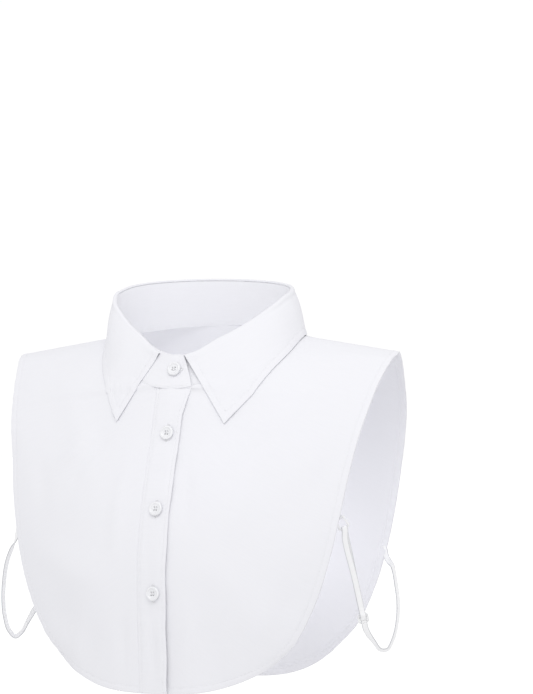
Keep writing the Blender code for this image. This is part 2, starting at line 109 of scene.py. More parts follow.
def newMaterial(name, **fixed):  # fixed values go straight on the shader's own sockets
    made = bpy.data.materials.new(name)
    made.use_nodes = True
    tree = made.node_tree
    shader = tree.nodes["Principled BSDF"]
    for socket, value in fixed.items():
        shader.inputs[socket.replace("_", " ")].default_value = value
    return made, tree, shader


def waveScale(pitch):  # a wave texture's scale for a pitch in millimetres, on coordinates in metres
    return 2 * math.pi / 20 / (pitch * mm)


def patchScale(size):  # the same for a noise texture's patches
    return 1 / (size * mm)


def cottonPoplin():
    # plain weave, matt, with a little unevenness in whiteness and a soft handled surface. The threads of
    # real poplin lie about 0.2 mm apart, and are drawn coarser so that they show
    made, tree, shader = newMaterial("cotton poplin", IOR=1.4, Specular_IOR_Level=0.25, Sheen_Weight=0.06,
                                     Sheen_Roughness=0.6)
    cloth = addNode(tree, "ShaderNodeUVMap", uv_map="cloth")
    place = addNode(tree, "ShaderNodeTexCoord")
    warp = addNode(tree, "ShaderNodeTexWave", {"Vector": cloth.outputs["UV"], "Scale": waveScale(0.42),
                   "Distortion": 0.6, "Detail": 1.0}, wave_type="BANDS", bands_direction="X")
    weft = addNode(tree, "ShaderNodeTexWave", {"Vector": cloth.outputs["UV"], "Scale": waveScale(0.5),
                   "Distortion": 0.6, "Detail": 1.0}, wave_type="BANDS", bands_direction="Y")
    weave = addNode(tree, "ShaderNodeMath", {0: warp.outputs["Fac"], 1: weft.outputs["Fac"]},
                    operation="MAXIMUM")
    slubPlace = addNode(tree, "ShaderNodeMapping", {"Vector": cloth.outputs["UV"],
                        "Scale": (patchScale(16.0), patchScale(1.1), 1.0)})
    slub = addNode(tree, "ShaderNodeTexNoise", {"Vector": slubPlace.outputs["Vector"], "Scale": 1.0,
                   "Detail": 2.0})
    handled = addNode(tree, "ShaderNodeTexNoise", {"Vector": place.outputs["Object"],
                      "Scale": patchScale(42.0), "Detail": 3.0, "Roughness": 0.5, "Distortion": 0.6})
    broad = addNode(tree, "ShaderNodeTexNoise", {"Vector": place.outputs["Object"],
                    "Scale": patchScale(110.0), "Detail": 1.0})
    tint = addNode(tree, "ShaderNodeMix", {"Factor": broad.outputs["Fac"],
                   "A": linear("#ebebf0"), "B": linear("#e9e9ed")}, data_type="RGBA")
    yarn = addNode(tree, "ShaderNodeMapRange", {"Value": slub.outputs["Fac"], "From Min": 0.3,
                   "From Max": 0.7, "To Min": 0.993, "To Max": 1.005})
    colour = addNode(tree, "ShaderNodeVectorMath", {0: tint.outputs["Result"], 1: yarn.outputs["Result"]},
                     operation="MULTIPLY")
    rough = addNode(tree, "ShaderNodeMapRange", {"Value": handled.outputs["Fac"], "To Min": 0.74,
                    "To Max": 0.9})
    soft = addNode(tree, "ShaderNodeBump", {"Height": handled.outputs["Fac"], "Strength": 0.35,
                   "Distance": 0.7 * mm})
    fine = addNode(tree, "ShaderNodeBump", {"Height": weave.outputs["Value"], "Strength": 0.2,
                   "Distance": 0.05 * mm, "Normal": soft.outputs["Normal"]})
    linkUp(tree, shader, {"Base Color": colour.outputs["Vector"], "Roughness": rough.outputs["Result"],
                          "Normal": fine.outputs["Normal"]})
    return made


def sewingThread():
    # a twisted ply: fine slanting ridges and a faint gloss
    made, tree, shader = newMaterial("polyester sewing thread", IOR=1.57, Roughness=0.55)
    place = addNode(tree, "ShaderNodeTexCoord")
    twist = addNode(tree, "ShaderNodeTexWave", {"Vector": place.outputs["Object"],
                    "Scale": waveScale(0.35)}, wave_type="BANDS", bands_direction="DIAGONAL")
    colour = addNode(tree, "ShaderNodeMix", {"Factor": twist.outputs["Fac"],
                     "A": linear("#e6e6ea"), "B": linear("#f3f3f5")}, data_type="RGBA")
    bump = addNode(tree, "ShaderNodeBump", {"Height": twist.outputs["Fac"], "Strength": 0.5,
                   "Distance": 0.05 * mm})
    linkUp(tree, shader, {"Base Color": colour.outputs["Result"], "Normal": bump.outputs["Normal"]})
    return made


def nylonElastic():
    # narrow knitted band: lengthwise ribs, crossed by the filling, which gives it a stringy matt look
    made, tree, shader = newMaterial("nylon elastic", IOR=1.53, Roughness=0.7, Sheen_Weight=0.1)
    cloth = addNode(tree, "ShaderNodeUVMap", uv_map="cloth")
    ribs = addNode(tree, "ShaderNodeTexWave", {"Vector": cloth.outputs["UV"], "Scale": waveScale(0.95),
                   "Distortion": 0.4}, wave_type="BANDS", bands_direction="X", wave_profile="SIN")
    filling = addNode(tree, "ShaderNodeTexWave", {"Vector": cloth.outputs["UV"], "Scale": waveScale(0.7),
                      "Distortion": 0.8}, wave_type="BANDS", bands_direction="Y")
    knit = addNode(tree, "ShaderNodeMath", {0: filling.outputs["Fac"], 1: 0.35, 2: ribs.outputs["Fac"]},
                   operation="MULTIPLY_ADD")
    ribbed = addNode(tree, "ShaderNodeMix", {"Factor": ribs.outputs["Fac"],
                     "A": linear("#f0f0f2"), "B": linear("#fbfbfc")}, data_type="RGBA")
    # painted shade: the band's edges are painted greyer than its flat face, so that the loop, seen nearly
    # on edge, looks shaded
    across = addNode(tree, "ShaderNodeSeparateXYZ", {"Vector": cloth.outputs["UV"]})
    inside = addNode(tree, "ShaderNodeMath", {0: across.outputs["X"], 1: 2.4 * mm}, operation="PINGPONG")
    flat = addNode(tree, "ShaderNodeMapRange", {"Value": inside.outputs["Value"], "From Min": 0.1 * mm,
                   "From Max": 0.7 * mm})
    colour = addNode(tree, "ShaderNodeMix", {"Factor": flat.outputs["Result"], "A": linear("#c6c7cb"),
                     "B": ribbed.outputs["Result"]}, data_type="RGBA")
    bump = addNode(tree, "ShaderNodeBump", {"Height": knit.outputs["Value"], "Strength": 0.35,
                   "Distance": 0.12 * mm})
    linkUp(tree, shader, {"Base Color": colour.outputs["Result"], "Normal": bump.outputs["Normal"]})
    return made


def acetalSlider():
    # moulded white plastic, satin, with the faint unevenness of a small moulding
    made, tree, shader = newMaterial("acetal slider", IOR=1.48, Roughness=0.35)
    place = addNode(tree, "ShaderNodeTexCoord")
    grain = addNode(tree, "ShaderNodeTexNoise", {"Vector": place.outputs["Object"],
                    "Scale": patchScale(1.1), "Detail": 2.0})
    colour = addNode(tree, "ShaderNodeMix", {"Factor": grain.outputs["Fac"],
                     "A": linear("#eeeeef"), "B": linear("#f5f5f6")}, data_type="RGBA")
    bump = addNode(tree, "ShaderNodeBump", {"Height": grain.outputs["Fac"], "Strength": 0.2,
                   "Distance": 0.1 * mm})
    linkUp(tree, shader, {"Base Color": colour.outputs["Result"], "Normal": bump.outputs["Normal"]})
    return made


def polyesterButton():
    # cast pearly polyester: cloudy in colour under a polished face
    made, tree, shader = newMaterial("polyester button", IOR=1.56, Roughness=0.3, Coat_Weight=0.15,
                                     Coat_Roughness=0.2)
    place = addNode(tree, "ShaderNodeTexCoord")
    cloud = addNode(tree, "ShaderNodeTexNoise", {"Vector": place.outputs["Object"],
                    "Scale": patchScale(3.8), "Detail": 3.0, "Distortion": 1.5})
    colour = addNode(tree, "ShaderNodeMix", {"Factor": cloud.outputs["Fac"],
                     "A": linear("#e2e3e7"), "B": linear("#f3f3f5")}, data_type="RGBA")
    rough = addNode(tree, "ShaderNodeMapRange", {"Value": cloud.outputs["Fac"], "To Min": 0.24,
                    "To Max": 0.36})
    linkUp(tree, shader, {"Base Color": colour.outputs["Result"], "Roughness": rough.outputs["Result"]})
    return made


poplin, thread, elastic = cottonPoplin(), sewingThread(), nylonElastic()
plastic, pearl = acetalSlider(), polyesterButton()
print("materials made")


def unit(vectors):
    vectors = np.asarray(vectors, float)
    return vectors / np.maximum(np.linalg.norm(vectors, axis=-1, keepdims=True), 1e-9)


def toward(vector, aim):  # the vector or its opposite, whichever points the way of aim
    return vector if vector @ aim > 0 else -vector


def hill(value, middle, wide):  # a soft ridge that is 1 at its middle
    return np.exp(-((value - middle) / wide) ** 2)


def pointAt(at, places, points):  # the point of a line at one of its places
    return np.array([np.interp(at, places, points[:, k]) for k in range(3)])


def curveThrough(stations, values, at):  # a smooth curve through values at stations, read at each at
    stations, values = np.asarray(stations, float), np.asarray(values, float)
    at = np.atleast_1d(np.asarray(at, float))
    slopes = np.gradient(values, stations, axis=0)
    i = np.clip(np.searchsorted(stations, at, side="right") - 1, 0, len(stations) - 2)
    width = stations[i + 1] - stations[i]
    t = (at - stations[i]) / width
    if values.ndim > 1:
        t, width = t[:, None], width[:, None]
    return ((1 + 2 * t) * (1 - t) ** 2 * values[i] + t * (1 - t) ** 2 * width * slopes[i]
            + t * t * (3 - 2 * t) * values[i + 1] - t * t * (1 - t) * width * slopes[i + 1])


def runLength(points):
    return np.concatenate([[0.0], np.cumsum(np.linalg.norm(np.diff(points, axis=0), axis=1))])


def route(points, step):  # points about step apart on a smooth curve through the given ones
    points = np.asarray(points, float)
    length = runLength(points)
    return curveThrough(length, points, np.linspace(0, length[-1], max(2, round(length[-1] / step) + 1)))


def normalsOf(grid):
    return unit(np.cross(np.gradient(grid, axis=0), np.gradient(grid, axis=1)))


def smooth(value):
    value = np.clip(value, 0.0, 1.0)
    return value * value * (3 - 2 * value)


def addMesh(name, points, faces, look, uvs=None):
    mesh = bpy.data.meshes.new(name)
    mesh.from_pydata((np.asarray(points) * mm).tolist(), [], faces)
    mesh.materials.append(look)
    mesh.shade_smooth()
    if uvs is not None:
        layer = mesh.uv_layers.new(name="cloth")
        corners = np.empty(len(mesh.loops), int)
        mesh.loops.foreach_get("vertex_index", corners)
        layer.data.foreach_set("uv", (np.asarray(uvs) * mm)[corners].ravel())
    mesh.validate()
    made = newObject(name, mesh)
    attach(made, "root")
    return made


def clothLengths(grid):  # the lengths across and along a grid, for the weave
    across = np.linalg.norm(np.diff(grid, axis=1), axis=2).cumsum(axis=1)
    along = np.linalg.norm(np.diff(grid, axis=0), axis=2).cumsum(axis=0)
    across = np.concatenate([np.zeros((grid.shape[0], 1)), across], axis=1)
    along = np.concatenate([np.zeros((1, grid.shape[1])), along], axis=0)
    return np.stack([across, along], axis=2)


rimOut = 0.4     # how far the rounded rim of a sheet stands out, as a share of its thickness


def shell(name, grid, facing, outer, inner, look, keep=None):
    # a closed sheet: the grid moved out by outer and in by inner, with a rounded rim. keep says which of
    # its faces there are, and points that lie on one another are joined
    rows, cols = grid.shape[:2]
    count = rows * cols
    first = {}
    same = [first.setdefault(tuple(p), n) for n, p in enumerate(grid.reshape(-1, 3).round(4).tolist())]
    turned = float(np.sum(normalsOf(grid)[rows // 2, cols // 2] * facing[rows // 2, cols // 2])) > 0
    faces = []
    for r in range(rows - 1):
        for c in range(cols - 1):
            face = (r * cols + c, r * cols + c + 1, (r + 1) * cols + c + 1, (r + 1) * cols + c)
            if keep is None or keep[r, c]:
                face = tuple(same[i] for i in face)
                faces.append(face[::-1] if turned else face)
    edges = {(f[i], f[(i + 1) % 4]) for f in faces for i in range(4)}
    rimEdges = sorted(e for e in edges if (e[1], e[0]) not in edges)
    mid, out = grid.reshape(-1, 3), facing.reshape(-1, 3)
    outer = np.broadcast_to(outer, (rows, cols)).ravel()
    inner = np.broadcast_to(inner, (rows, cols)).ravel()
    away = {}
    for a, b in rimEdges:
        push = unit(np.cross(mid[b] - mid[a], out[a]))
        away[a] = away.get(a, 0.0) + push
        away[b] = away.get(b, 0.0) + push
    rim = {i: 2 * count + n for n, i in enumerate(sorted(away))}
    edgePoints = [mid[i] + out[i] * (outer[i] - inner[i]) / 2
                  + unit(away[i]) * rimOut * (outer[i] + inner[i]) for i in sorted(away)]
    points = np.concatenate([mid + out * outer[:, None], mid - out * inner[:, None], np.array(edgePoints)])
    faces += [tuple(i + count for i in reversed(f)) for f in faces]
    for a, b in rimEdges:
        faces += [(b, a, rim[a], rim[b]), (rim[b], rim[a], a + count, b + count)]
    lengths = clothLengths(grid).reshape(-1, 2)
    uvs = np.concatenate([lengths, lengths, lengths[sorted(away)]])
    used = sorted({i for f in faces for i in f})
    place = np.full(len(points), -1)
    place[used] = np.arange(len(used))
    faces = [tuple(int(place[i]) for i in f) for f in faces]
    return addMesh(name, points[used], faces, look, uvs[used])


def treeOf(*objects):  # for finding the nearest surface, in millimetres
    points, faces = [], []
    for o in objects:
        base = len(points)
        points += [tuple(v.co / mm) for v in o.data.vertices]
        faces += [tuple(base + i for i in p.vertices) for p in o.data.polygons]
    return BVHTree.FromPolygons(points, faces)


def gridTree(*grids):
    points, faces = [], []
    for grid in grids:
        rows, cols = grid.shape[:2]
        base = len(points)
        points += [tuple(p) for p in grid.reshape(-1, 3)]
        faces += [(base + r * cols + c, base + r * cols + c + 1, base + (r + 1) * cols + c + 1,
                   base + (r + 1) * cols + c) for r in range(rows - 1) for c in range(cols - 1)]
    return BVHTree.FromPolygons(points, faces)


def nearOn(tree, point):
    place, normal, _, _ = tree.find_nearest(Vector(point))
    return np.array(place), np.array(normal)


def sweep(name, path, wides, half, look, closed=False, sides=12, flatness=0.6):
    # a rounded band or cord: its section is half[0] by half[1] across, turned by wides
    path, wides = np.asarray(path, float), np.asarray(wides, float)
    if closed:
        tangents = unit(np.roll(path, -1, axis=0) - np.roll(path, 1, axis=0))
    else:
        tangents = unit(np.gradient(path, axis=0))
    wides = unit(wides - tangents * np.sum(wides * tangents, axis=1, keepdims=True))
    thicks = np.cross(tangents, wides)
    turns = np.linspace(0, 2 * np.pi, sides, endpoint=False)
    x = np.sign(np.cos(turns)) * np.abs(np.cos(turns)) ** flatness * half[0]
    y = np.sign(np.sin(turns)) * np.abs(np.sin(turns)) ** flatness * half[1]
    points = (path[:, None] + wides[:, None] * x[None, :, None] + thicks[:, None] * y[None, :, None])
    count = len(path)
    faces = []
    for r in range(count if closed else count - 1):
        s = (r + 1) % count
        faces += [(r * sides + k, r * sides + (k + 1) % sides, s * sides + (k + 1) % sides, s * sides + k)
                  for k in range(sides)]
    if not closed:
        faces += [tuple(range(sides))[::-1], tuple((count - 1) * sides + k for k in range(sides))]
    around = np.broadcast_to(x + half[0], (count, sides))
    along = np.broadcast_to(runLength(path)[:, None], (count, sides))
    return addMesh(name, points.reshape(-1, 3), faces, look,
                   np.stack([around, along], axis=2).reshape(-1, 2))


def joined(name, pieces, look):  # many small closed shapes as one piece
    points, faces = [], []
    for shapePoints, shapeFaces in pieces:
        base = len(points)
        points += list(shapePoints)
        faces += [tuple(base + i for i in f) for f in shapeFaces]
    return addMesh(name, points, faces, look)


stitches = {"hem": (2.9, 2.3), "collar": (2.7, 2.1), "tab": (1.1, 0.9), "tack": (0.8, 1.5)}  # pitch, length
# a stitch's rings: place along it, size and lift
stitchRings = [(-0.5, 0.35, -0.1), (-0.28, 1.0, 0.06), (0.28, 1.0, 0.06), (0.5, 0.35, -0.1)]


def stitch(middle, along, up, length, wide=0.17, proud=0.13):
    # one stitch: a small spindle that dips into the cloth at its ends
    side = unit(np.cross(up, along))
    points, sides = [], 5
    for share, scale, lift in stitchRings:
        for k in range(sides):
            turn = 2 * math.pi * k / sides
            points.append(middle + along * length * share + up * (lift + math.sin(turn) * proud * scale)
                          + side * math.cos(turn) * wide * scale)
    faces = [(r * sides + k, (r + 1) * sides + k, (r + 1) * sides + (k + 1) % sides,
              r * sides + (k + 1) % sides) for r in range(3) for k in range(sides)]
    faces += [tuple(range(sides)), tuple(3 * sides + k for k in range(sides))[::-1]]
    return points, faces


def stitchRow(name, path, tree, outward, kind="hem"):
    # stitches along a path, on the side of the surface that outward points to
    pitch, length = stitches[kind]
    path = route(path, pitch)
    tangents = unit(np.gradient(path, axis=0))
    shapes = []
    for point, tangent, away in zip(path, tangents, np.broadcast_to(outward, path.shape)):
        place, normal = nearOn(tree, point + away * 1.2)
        if normal @ away < 0.2:
            continue
        shapes.append(stitch(place, unit(tangent - normal * (tangent @ normal)), normal, length))
    return joined(name, shapes, thread)


# Sections across a half panel, from the shoulder seam down to the hem. neck is the place on the neck
# seam, 1 at the shoulder and 0 at the centre; lower sections start on the centre line instead.
Section = namedtuple("Section", "neck centreY centreZ edgeX edgeY edgeZ powerY powerZ")
frontSections = [
    Section(1.00, None, None, 168.3, 0.0, -15.8, 1.0, 1.0),
    Section(0.87, None, None, 167.8, -6.0, -18.0, 1.0, 1.0),
    Section(0.66, None, None, 165.9, -13.5, -23.0, 1.0, 1.0),
    Section(0.33, None, None, 161.3, -28.1, -40.0, 1.0, 1.1),
    Section(0.00, -68.6, -44.6, 157.3, -40.0, -60.0, 1.12, 1.3),
    Section(None, -78.0, -80.3, 152.6, -51.3, -84.0, 1.3, 1.3),
    Section(None, -88.6, -113.0, 147.2, -59.3, -114.0, 1.65, 1.3),
    Section(None, -97.4, -143.0, 142.3, -64.2, -143.0, 1.85, 1.3),
    Section(None, -103.2, -180.0, 135.0, -68.2, -178.0, 2.0, 1.4),
    Section(None, -103.6, -215.0, 124.6, -71.2, -212.0, 2.1, 1.8),
    Section(None, -102.4, -250.0, 110.6, -74.0, -241.0, 2.2, 2.2),
    Section(None, -101.1, -284.2, 94.4, -76.6, -260.0, 2.4, 2.9),
]
backSections = [
    Section(1.00, None, None, 168.3, 0.0, -15.8, 1.0, 1.0),
    Section(0.87, None, None, 167.5, 6.5, -19.0, 1.1, 1.0),
    Section(0.66, None, None, 164.5, 19.7, -28.0, 1.15, 1.0),
    Section(0.33, None, None, 161.0, 33.5, -40.5, 1.2, 1.1),
    Section(0.00, 50.0, 9.0, 157.3, 47.9, -60.0, 1.3, 1.3),
    Section(None, 60.0, -31.0, 152.6, 56.5, -84.0, 1.5, 1.3),
    Section(None, 67.5, -72.0, 147.3, 61.2, -113.0, 1.7, 1.3),
    Section(None, 71.0, -112.0, 142.4, 61.8, -141.0, 1.8, 1.3),
    Section(None, 71.5, -152.0, 136.2, 60.2, -172.0, 1.9, 1.3),
    Section(None, 70.0, -195.0, 127.0, 58.4, -204.0, 2.0, 1.5),
    Section(None, 67.0, -240.0, 112.3, 57.2, -236.5, 2.2, 2.0),
    Section(None, 63.5, -284.5, 90.5, 56.6, -260.5, 2.4, 3.1),
]
neck = {"halfWidth": 70.0, "frontDepth": 70.6, "backDepth": 48.0, "middleY": 2.0, "frontDrop": 44.6,
        "backRise": 9.0}

# Soft creases: a line from one point to another in the front view, its width, its height out of the
# cloth (a trough is below zero) and how far its middle bows sideways
Crease = namedtuple("Crease", "x1 z1 x2 z2 wide height bow")
frontCreases = [
    Crease(126, -36, 52, -132, 14, 1.5, 8), Crease(143, -62, 92, -172, 14, -1.4, -7),
    Crease(38, -176, 106, -268, 17, 2.2, -8), Crease(44, -222, 74, -330, 17, -2.4, 4),
    Crease(22, -92, 31, -165, 6, -1.1, 2), Crease(30, -205, 26, -300, 7, 1.4, -2),
    Crease(127, -92, 135, -160, 7, -1.1, 3), Crease(96, -66, 44, -122, 6, -1.0, -4),
    Crease(112, -196, 92, -262, 8, -1.4, 3), Crease(72, -92, 60, -168, 7, 1.0, -3),
    Crease(-116, -30, -60, -138, 12, 1.3, -6), Crease(-151, -66, -146, -128, 7, -1.3, 2),
    Crease(-128, -164, -14, -204, 16, 1.9, 7), Crease(-110, -214, -40, -270, 18, -2.0, -6),
    Crease(-50, -80, -84, -124, 4.5, -1.6, 3), Crease(-64, -74, -104, -108, 4.5, 1.4, -2),
    Crease(-31, -88, -35, -192, 6, 1.2, 2), Crease(-58, -208, -77, -290, 9, 1.6, 5),
    Crease(-24, -212, -28, -284, 5, -1.3, 1), Crease(-120, -96, -112, -158, 8, -1.2, -3),
]
backCreases = [
    Crease(-112, -36, -38, -120, 13, 1.8, 7), Crease(108, -34, 44, -132, 14, 1.7, -8),
    Crease(-20, -8, -30, -96, 9, -1.2, 3), Crease(24, -6, 36, -104, 10, -1.4, -4),
    Crease(-64, -150, -52, -274, 12, 1.6, 6), Crease(4, -130, -6, -262, 13, -1.7, -5),
    Crease(58, -160, 70, -270, 11, 1.4, -4), Crease(-118, -120, -104, -212, 10, -1.3, 4),
    Crease(120, -118, 110, -206, 10, -1.2, -3), Crease(88, -200, 84, -268, 9, 1.0, 3),
]


hangIn = {"from": 185.0, "over": 110.0, "depth": 1.8}    # below the neck opening's middle


def creaseHeight(creases, x, z):
    # a slight unevenness all over, and the lower part hangs in a little
    total = 0.4 * np.sin(x / 21 + 1.1 * np.sin(z / 37)) * np.sin(z / 29 + 0.8)
    total = total + 0.16 * np.sin(x / 9.5 + 0.7 * np.sin(z / 16) + z / 40)
    total = total - hangIn["depth"] * smooth((-z - hangIn["from"]) / hangIn["over"])
    for n, c in enumerate(creases):
        run = np.array([c.x2 - c.x1, c.z2 - c.z1], float)
        length = np.linalg.norm(run)
        t = ((x - c.x1) * run[0] + (z - c.z1) * run[1]) / length ** 2
        side = ((x - c.x1) * run[1] - (z - c.z1) * run[0]) / length - c.bow * 4 * t * (1 - t)
        wide = c.wide * (0.8 + 0.4 * t)
        fade = np.sin(np.pi * np.clip(t, 0, 1)) ** 1.3 * (1 + 0.25 * np.sin(7 * t + n))
        total = total + c.height * hill(side, 0.0, wide) * fade
    return total


def ringOut(path):
    return unit(path * np.array([1.0, 1.0, 0.0]))


def neckPoints(angles):  # points of the neck seam, angles in degrees from the centre front
    turn = np.radians(angles)
    side, ahead = np.sin(turn), np.cos(turn)
    front = ahead >= 0
    y = neck["middleY"] - np.where(front, neck["frontDepth"], neck["backDepth"]) * ahead
    z = np.where(front, -neck["frontDrop"], neck["backRise"]) * np.abs(ahead) ** 1.3
    return np.stack([neck["halfWidth"] * side, y, z], axis=-1)


def panelGrid(sections, levels, shares, inner=0.0, behind=False):
    # points of a half panel: a row for each level, columns at that row's shares of its length
    stations = np.arange(len(sections), dtype=float)
    edge = curveThrough(stations, [(s.edgeX, s.edgeY, s.edgeZ) for s in sections], levels)
    powers = curveThrough(stations, [(s.powerY, s.powerZ) for s in sections], levels)
    onNeck = [i for i, s in enumerate(sections) if s.neck is not None]
    onCentre = [i for i, s in enumerate(sections) if s.centreY is not None]
    place = curveThrough(stations[onNeck], [sections[i].neck for i in onNeck], levels)
    last = math.degrees(math.asin(inner / neck["halfWidth"]))     # where the neck seam ends
    angle = last + (90.0 - last) * place
    seam = neckPoints(180.0 - angle if behind else angle)
    centre = curveThrough(stations[onCentre],
                          [(0.0, sections[i].centreY, sections[i].centreZ) for i in onCentre], levels)
    above = np.asarray(levels) < onNeck[-1] - 0.0001
    start = np.where(above[:, None], seam, centre)
    x = np.where(above, seam[:, 0], inner)[:, None]
    x = x + (edge[:, :1] - x) * shares
    along = np.where(above[:, None], shares, np.abs(x) / edge[:, :1])
    y = start[:, 1:2] + (edge[:, 1:2] - start[:, 1:2]) * along ** powers[:, :1]
    z = start[:, 2:3] + (edge[:, 2:3] - start[:, 2:3]) * along ** powers[:, 1:2]
    return np.stack([x, y, z], axis=2)


# a level is a place down the sections: 0 at the shoulder seam, then the neck seam's end, last the hem.
# Rows and columns lie closer together in the hem
neckLevel, hemLevel = 4.0, 11.0
hemRows = hemLevel - np.array([0.30, 0.26, 0.23, 0.205, 0.185, 0.165, 0.145, 0.13, 0.11, 0.085, 0.06, 0.035,
                               0.015, 0.0])
levels = np.concatenate([np.linspace(0, neckLevel, 29), np.linspace(neckLevel, 10.64, 54)[1:], hemRows])
hemColumns = np.array([8.0, 7.2, 6.6, 6.1, 5.6, 5.1, 4.6, 4.1, 3.2, 2.2, 1.2, 0.5, 0.0])
bodyEnd = 9.0     # the last even column's distance from the edge
footRow = 28      # the row at the neck seam's end


def rowShares(sections, inner, behind, body=46):
    ends = panelGrid(sections, levels, np.broadcast_to([0.0, 1.0], (len(levels), 2)), inner, behind)
    length = np.linalg.norm(ends[:, 1] - ends[:, 0], axis=1)[:, None]
    bodyShares = np.linspace(0, 1, body)[None, :] * (1 - bodyEnd / length)
    return np.concatenate([bodyShares, 1 - hemColumns[None, :] / length], axis=1)


def halfPanel(sections, creases, inner, behind, side):
    grid = panelGrid(sections, levels, rowShares(sections, inner, behind), inner, behind)
    grid[..., 0] *= side
    out = outwardOf(grid)
    settle = smooth(levels / 1.5)[:, None]   # no crease right at the shoulder seam
    return grid + out * (creaseHeight(creases, grid[..., 0], grid[..., 2]) * settle)[..., None]


def fromWearer(points):  # roughly the way out from the wearer
    return points * np.array([0.2, 1.0, 0.0]) + np.array([0.0, 0.0, 20.0])


def outwardOf(grid):  # normals that point away from the wearer
    out = normalsOf(grid)
    middle = (grid.shape[0] // 2, grid.shape[1] // 2)
    return out if out[middle] @ fromWearer(grid[middle]) > 0 else -out


def outwardOfRing(grid):  # the same for a piece that goes round the neck
    out = normalsOf(grid)
    middle = (grid.shape[0] // 2, grid.shape[1] // 2)
    return out if out[middle][1] > 0 else -out


def leafLine(grid, distance):  # a line at that distance inside the leaf's front edges and lower edge
    rows, cols = grid.shape[:2]
    across = clothLengths(grid)[..., 0]
    back = clothLengths(grid[:, ::-1])[:, ::-1, 0]
    up = clothLengths(grid[::-1])[::-1, :, 1]
    corner = distance * 1.6     # the line turns this far from the other edge
    line = [pointAt(distance, across[r], grid[r]) for r in range(8, rows) if up[r, 0] > corner]
    line += [pointAt(-distance, -up[:, c], grid[:, c]) for c in range(cols)
             if across[-1, c] > corner and back[-1, c] > corner]
    line += [pointAt(-distance, -back[r], grid[r]) for r in range(rows - 1, 7, -1) if up[r, -1] > corner]
    return np.array(line)


def hemOf(grid, outline):  # each point's distance to the free edge, and the place along it
    flat = grid.reshape(-1, 3)
    length = runLength(outline)
    distance, place = np.empty(len(flat)), np.empty(len(flat))
    batch = 800     # a few at a time, to save memory
    for start in range(0, len(flat), batch):
        some = slice(start, start + batch)
        gaps = np.linalg.norm(flat[some, None] - outline[None], axis=2)
        distance[some] = gaps.min(axis=1)
        place[some] = length[gaps.argmin(axis=1)]
    return distance.reshape(grid.shape[:2]), place.reshape(grid.shape[:2])


# cloth is half the thickness and line the stitching's distance from the edge. dip is a depth and a width,
# puff a height, a distance and a width, and puckers a height, a pitch, a sway and its length, and the
# distance from the edge where they begin to fade and over which they do
hem = {"cloth": 0.34, "turned": 0.5, "width": 6.2, "line": 4.8, "dip": (0.16, 0.8),
       "puff": (0.14, 2.4, 1.5), "puckers": (0.2, 1.9, 1.3, 11.0, 2.0, 9.0)}


def dipAlong(plan, distance):  # the stitching pulls the cloth in
    depth, wide = plan["dip"]
    return depth * hill(distance, plan["line"], wide)


def puffBeside(plan, distance):  # between the stitching and the edge the cloth stands up
    height, middle, wide = plan["puff"]
    return height * hill(distance, middle, wide)


def puckersOf(plan, distance, place):  # and it ripples along the edge
    height, pitch, sway, long, start, fade = plan["puckers"]
    ripple = np.sin(place / pitch + sway * np.sin(place / long))
    return height * ripple * (1 - smooth((distance - start) / fade))


def hemThickness(distance, place):
    # the turned hem is thicker inside, is pulled in along its stitching, and puckers a little
    band = 1 - smooth((distance - hem["width"]) / 0.8)
    dip = dipAlong(hem, distance)
    shift = puckersOf(hem, distance, place) * (0.6 + 0.4 * np.sin(place / 31))
    outer = hem["cloth"] - dip + puffBeside(hem, distance) + shift
    inner = hem["cloth"] + hem["turned"] * band - dip - shift
    return outer, inner


def outlineOf(grid):  # down the side edge, then along the hem to the centre
    line = np.concatenate([grid[:, -1], grid[-1, ::-1][1:]])
    return route(line, 1.0)


def inset(outline, tree, distance):  # the outline moved in over the surface
    tangents = unit(np.gradient(outline, axis=0))
    middle = outline.mean(axis=0)
    points = []
    for point, tangent in zip(outline[::2], tangents[::2]):
        _, normal = nearOn(tree, point)
        inward = toward(unit(np.cross(normal, tangent)), middle - point)
        points.append(nearOn(tree, point + inward * distance)[0])
    return np.array(points)


def outwardAt(surface, path):  # the surface's normals along a path, pointing away from the wearer
    out = np.array([nearOn(surface, p)[1] for p in path])
    return np.where(np.sum(out * fromWearer(path), axis=1, keepdims=True) > 0, out, -out)


def hemStitches(name, path, surface, tree):
    line = route(path, stitches["hem"][0])
    out = outwardAt(surface, line)
    return [stitchRow(name + "_stitches", line, tree, out),
            stitchRow(name + "_stitches_inside", line, tree, -out)]


# side is 1 for the wearer's left, and start is the distance from the centre line: the wearer's right
# front begins where the placket is sewn on
fronts = {"front_left": {"side": 1.0, "start": 0.0}, "front_right": {"side": -1.0, "start": 12.1}}
panels = {}
for name, plan in fronts.items():
    panels[name] = halfPanel(frontSections, frontCreases, plan["start"], False, plan["side"])
backHalves = [halfPanel(backSections, backCreases, 0.0, True, side) for side in (1.0, -1.0)]
backHalves[1][footRow:, 0] = backHalves[0][footRow:, 0]
shoulderDitch = (0.5, 0.25)     # the first rows lie back from the fronts, as a seam does
for half in backHalves:
    for row, depth in enumerate(shoulderDitch):
        half[row, :, 1] += depth
back = np.concatenate([backHalves[1][:, ::-1], backHalves[0]], axis=1)
backFacing = np.concatenate([outwardOf(backHalves[1])[:, ::-1], outwardOf(backHalves[0])], axis=1)
backKeep = np.ones((back.shape[0] - 1, back.shape[1] - 1), bool)
backKeep[:, backHalves[0].shape[1] - 1] = False      # the two halves meet only below the neck


def centreGrid(rowLevels, xs):  # points of the front near its centre line, at these x
    edge = curveThrough(np.arange(len(frontSections)), [s.edgeX for s in frontSections], rowLevels)
    grid = panelGrid(frontSections, rowLevels, np.abs(xs) / edge[:, None], 0.0)
    grid[..., 0] *= np.sign(xs) + (xs == 0)
    settle = smooth((rowLevels - neckLevel) / 0.5)[:, None]
    lift = creaseHeight(frontCreases, grid[..., 0], grid[..., 2]) * settle
    return grid + outwardOf(grid) * lift[..., None]


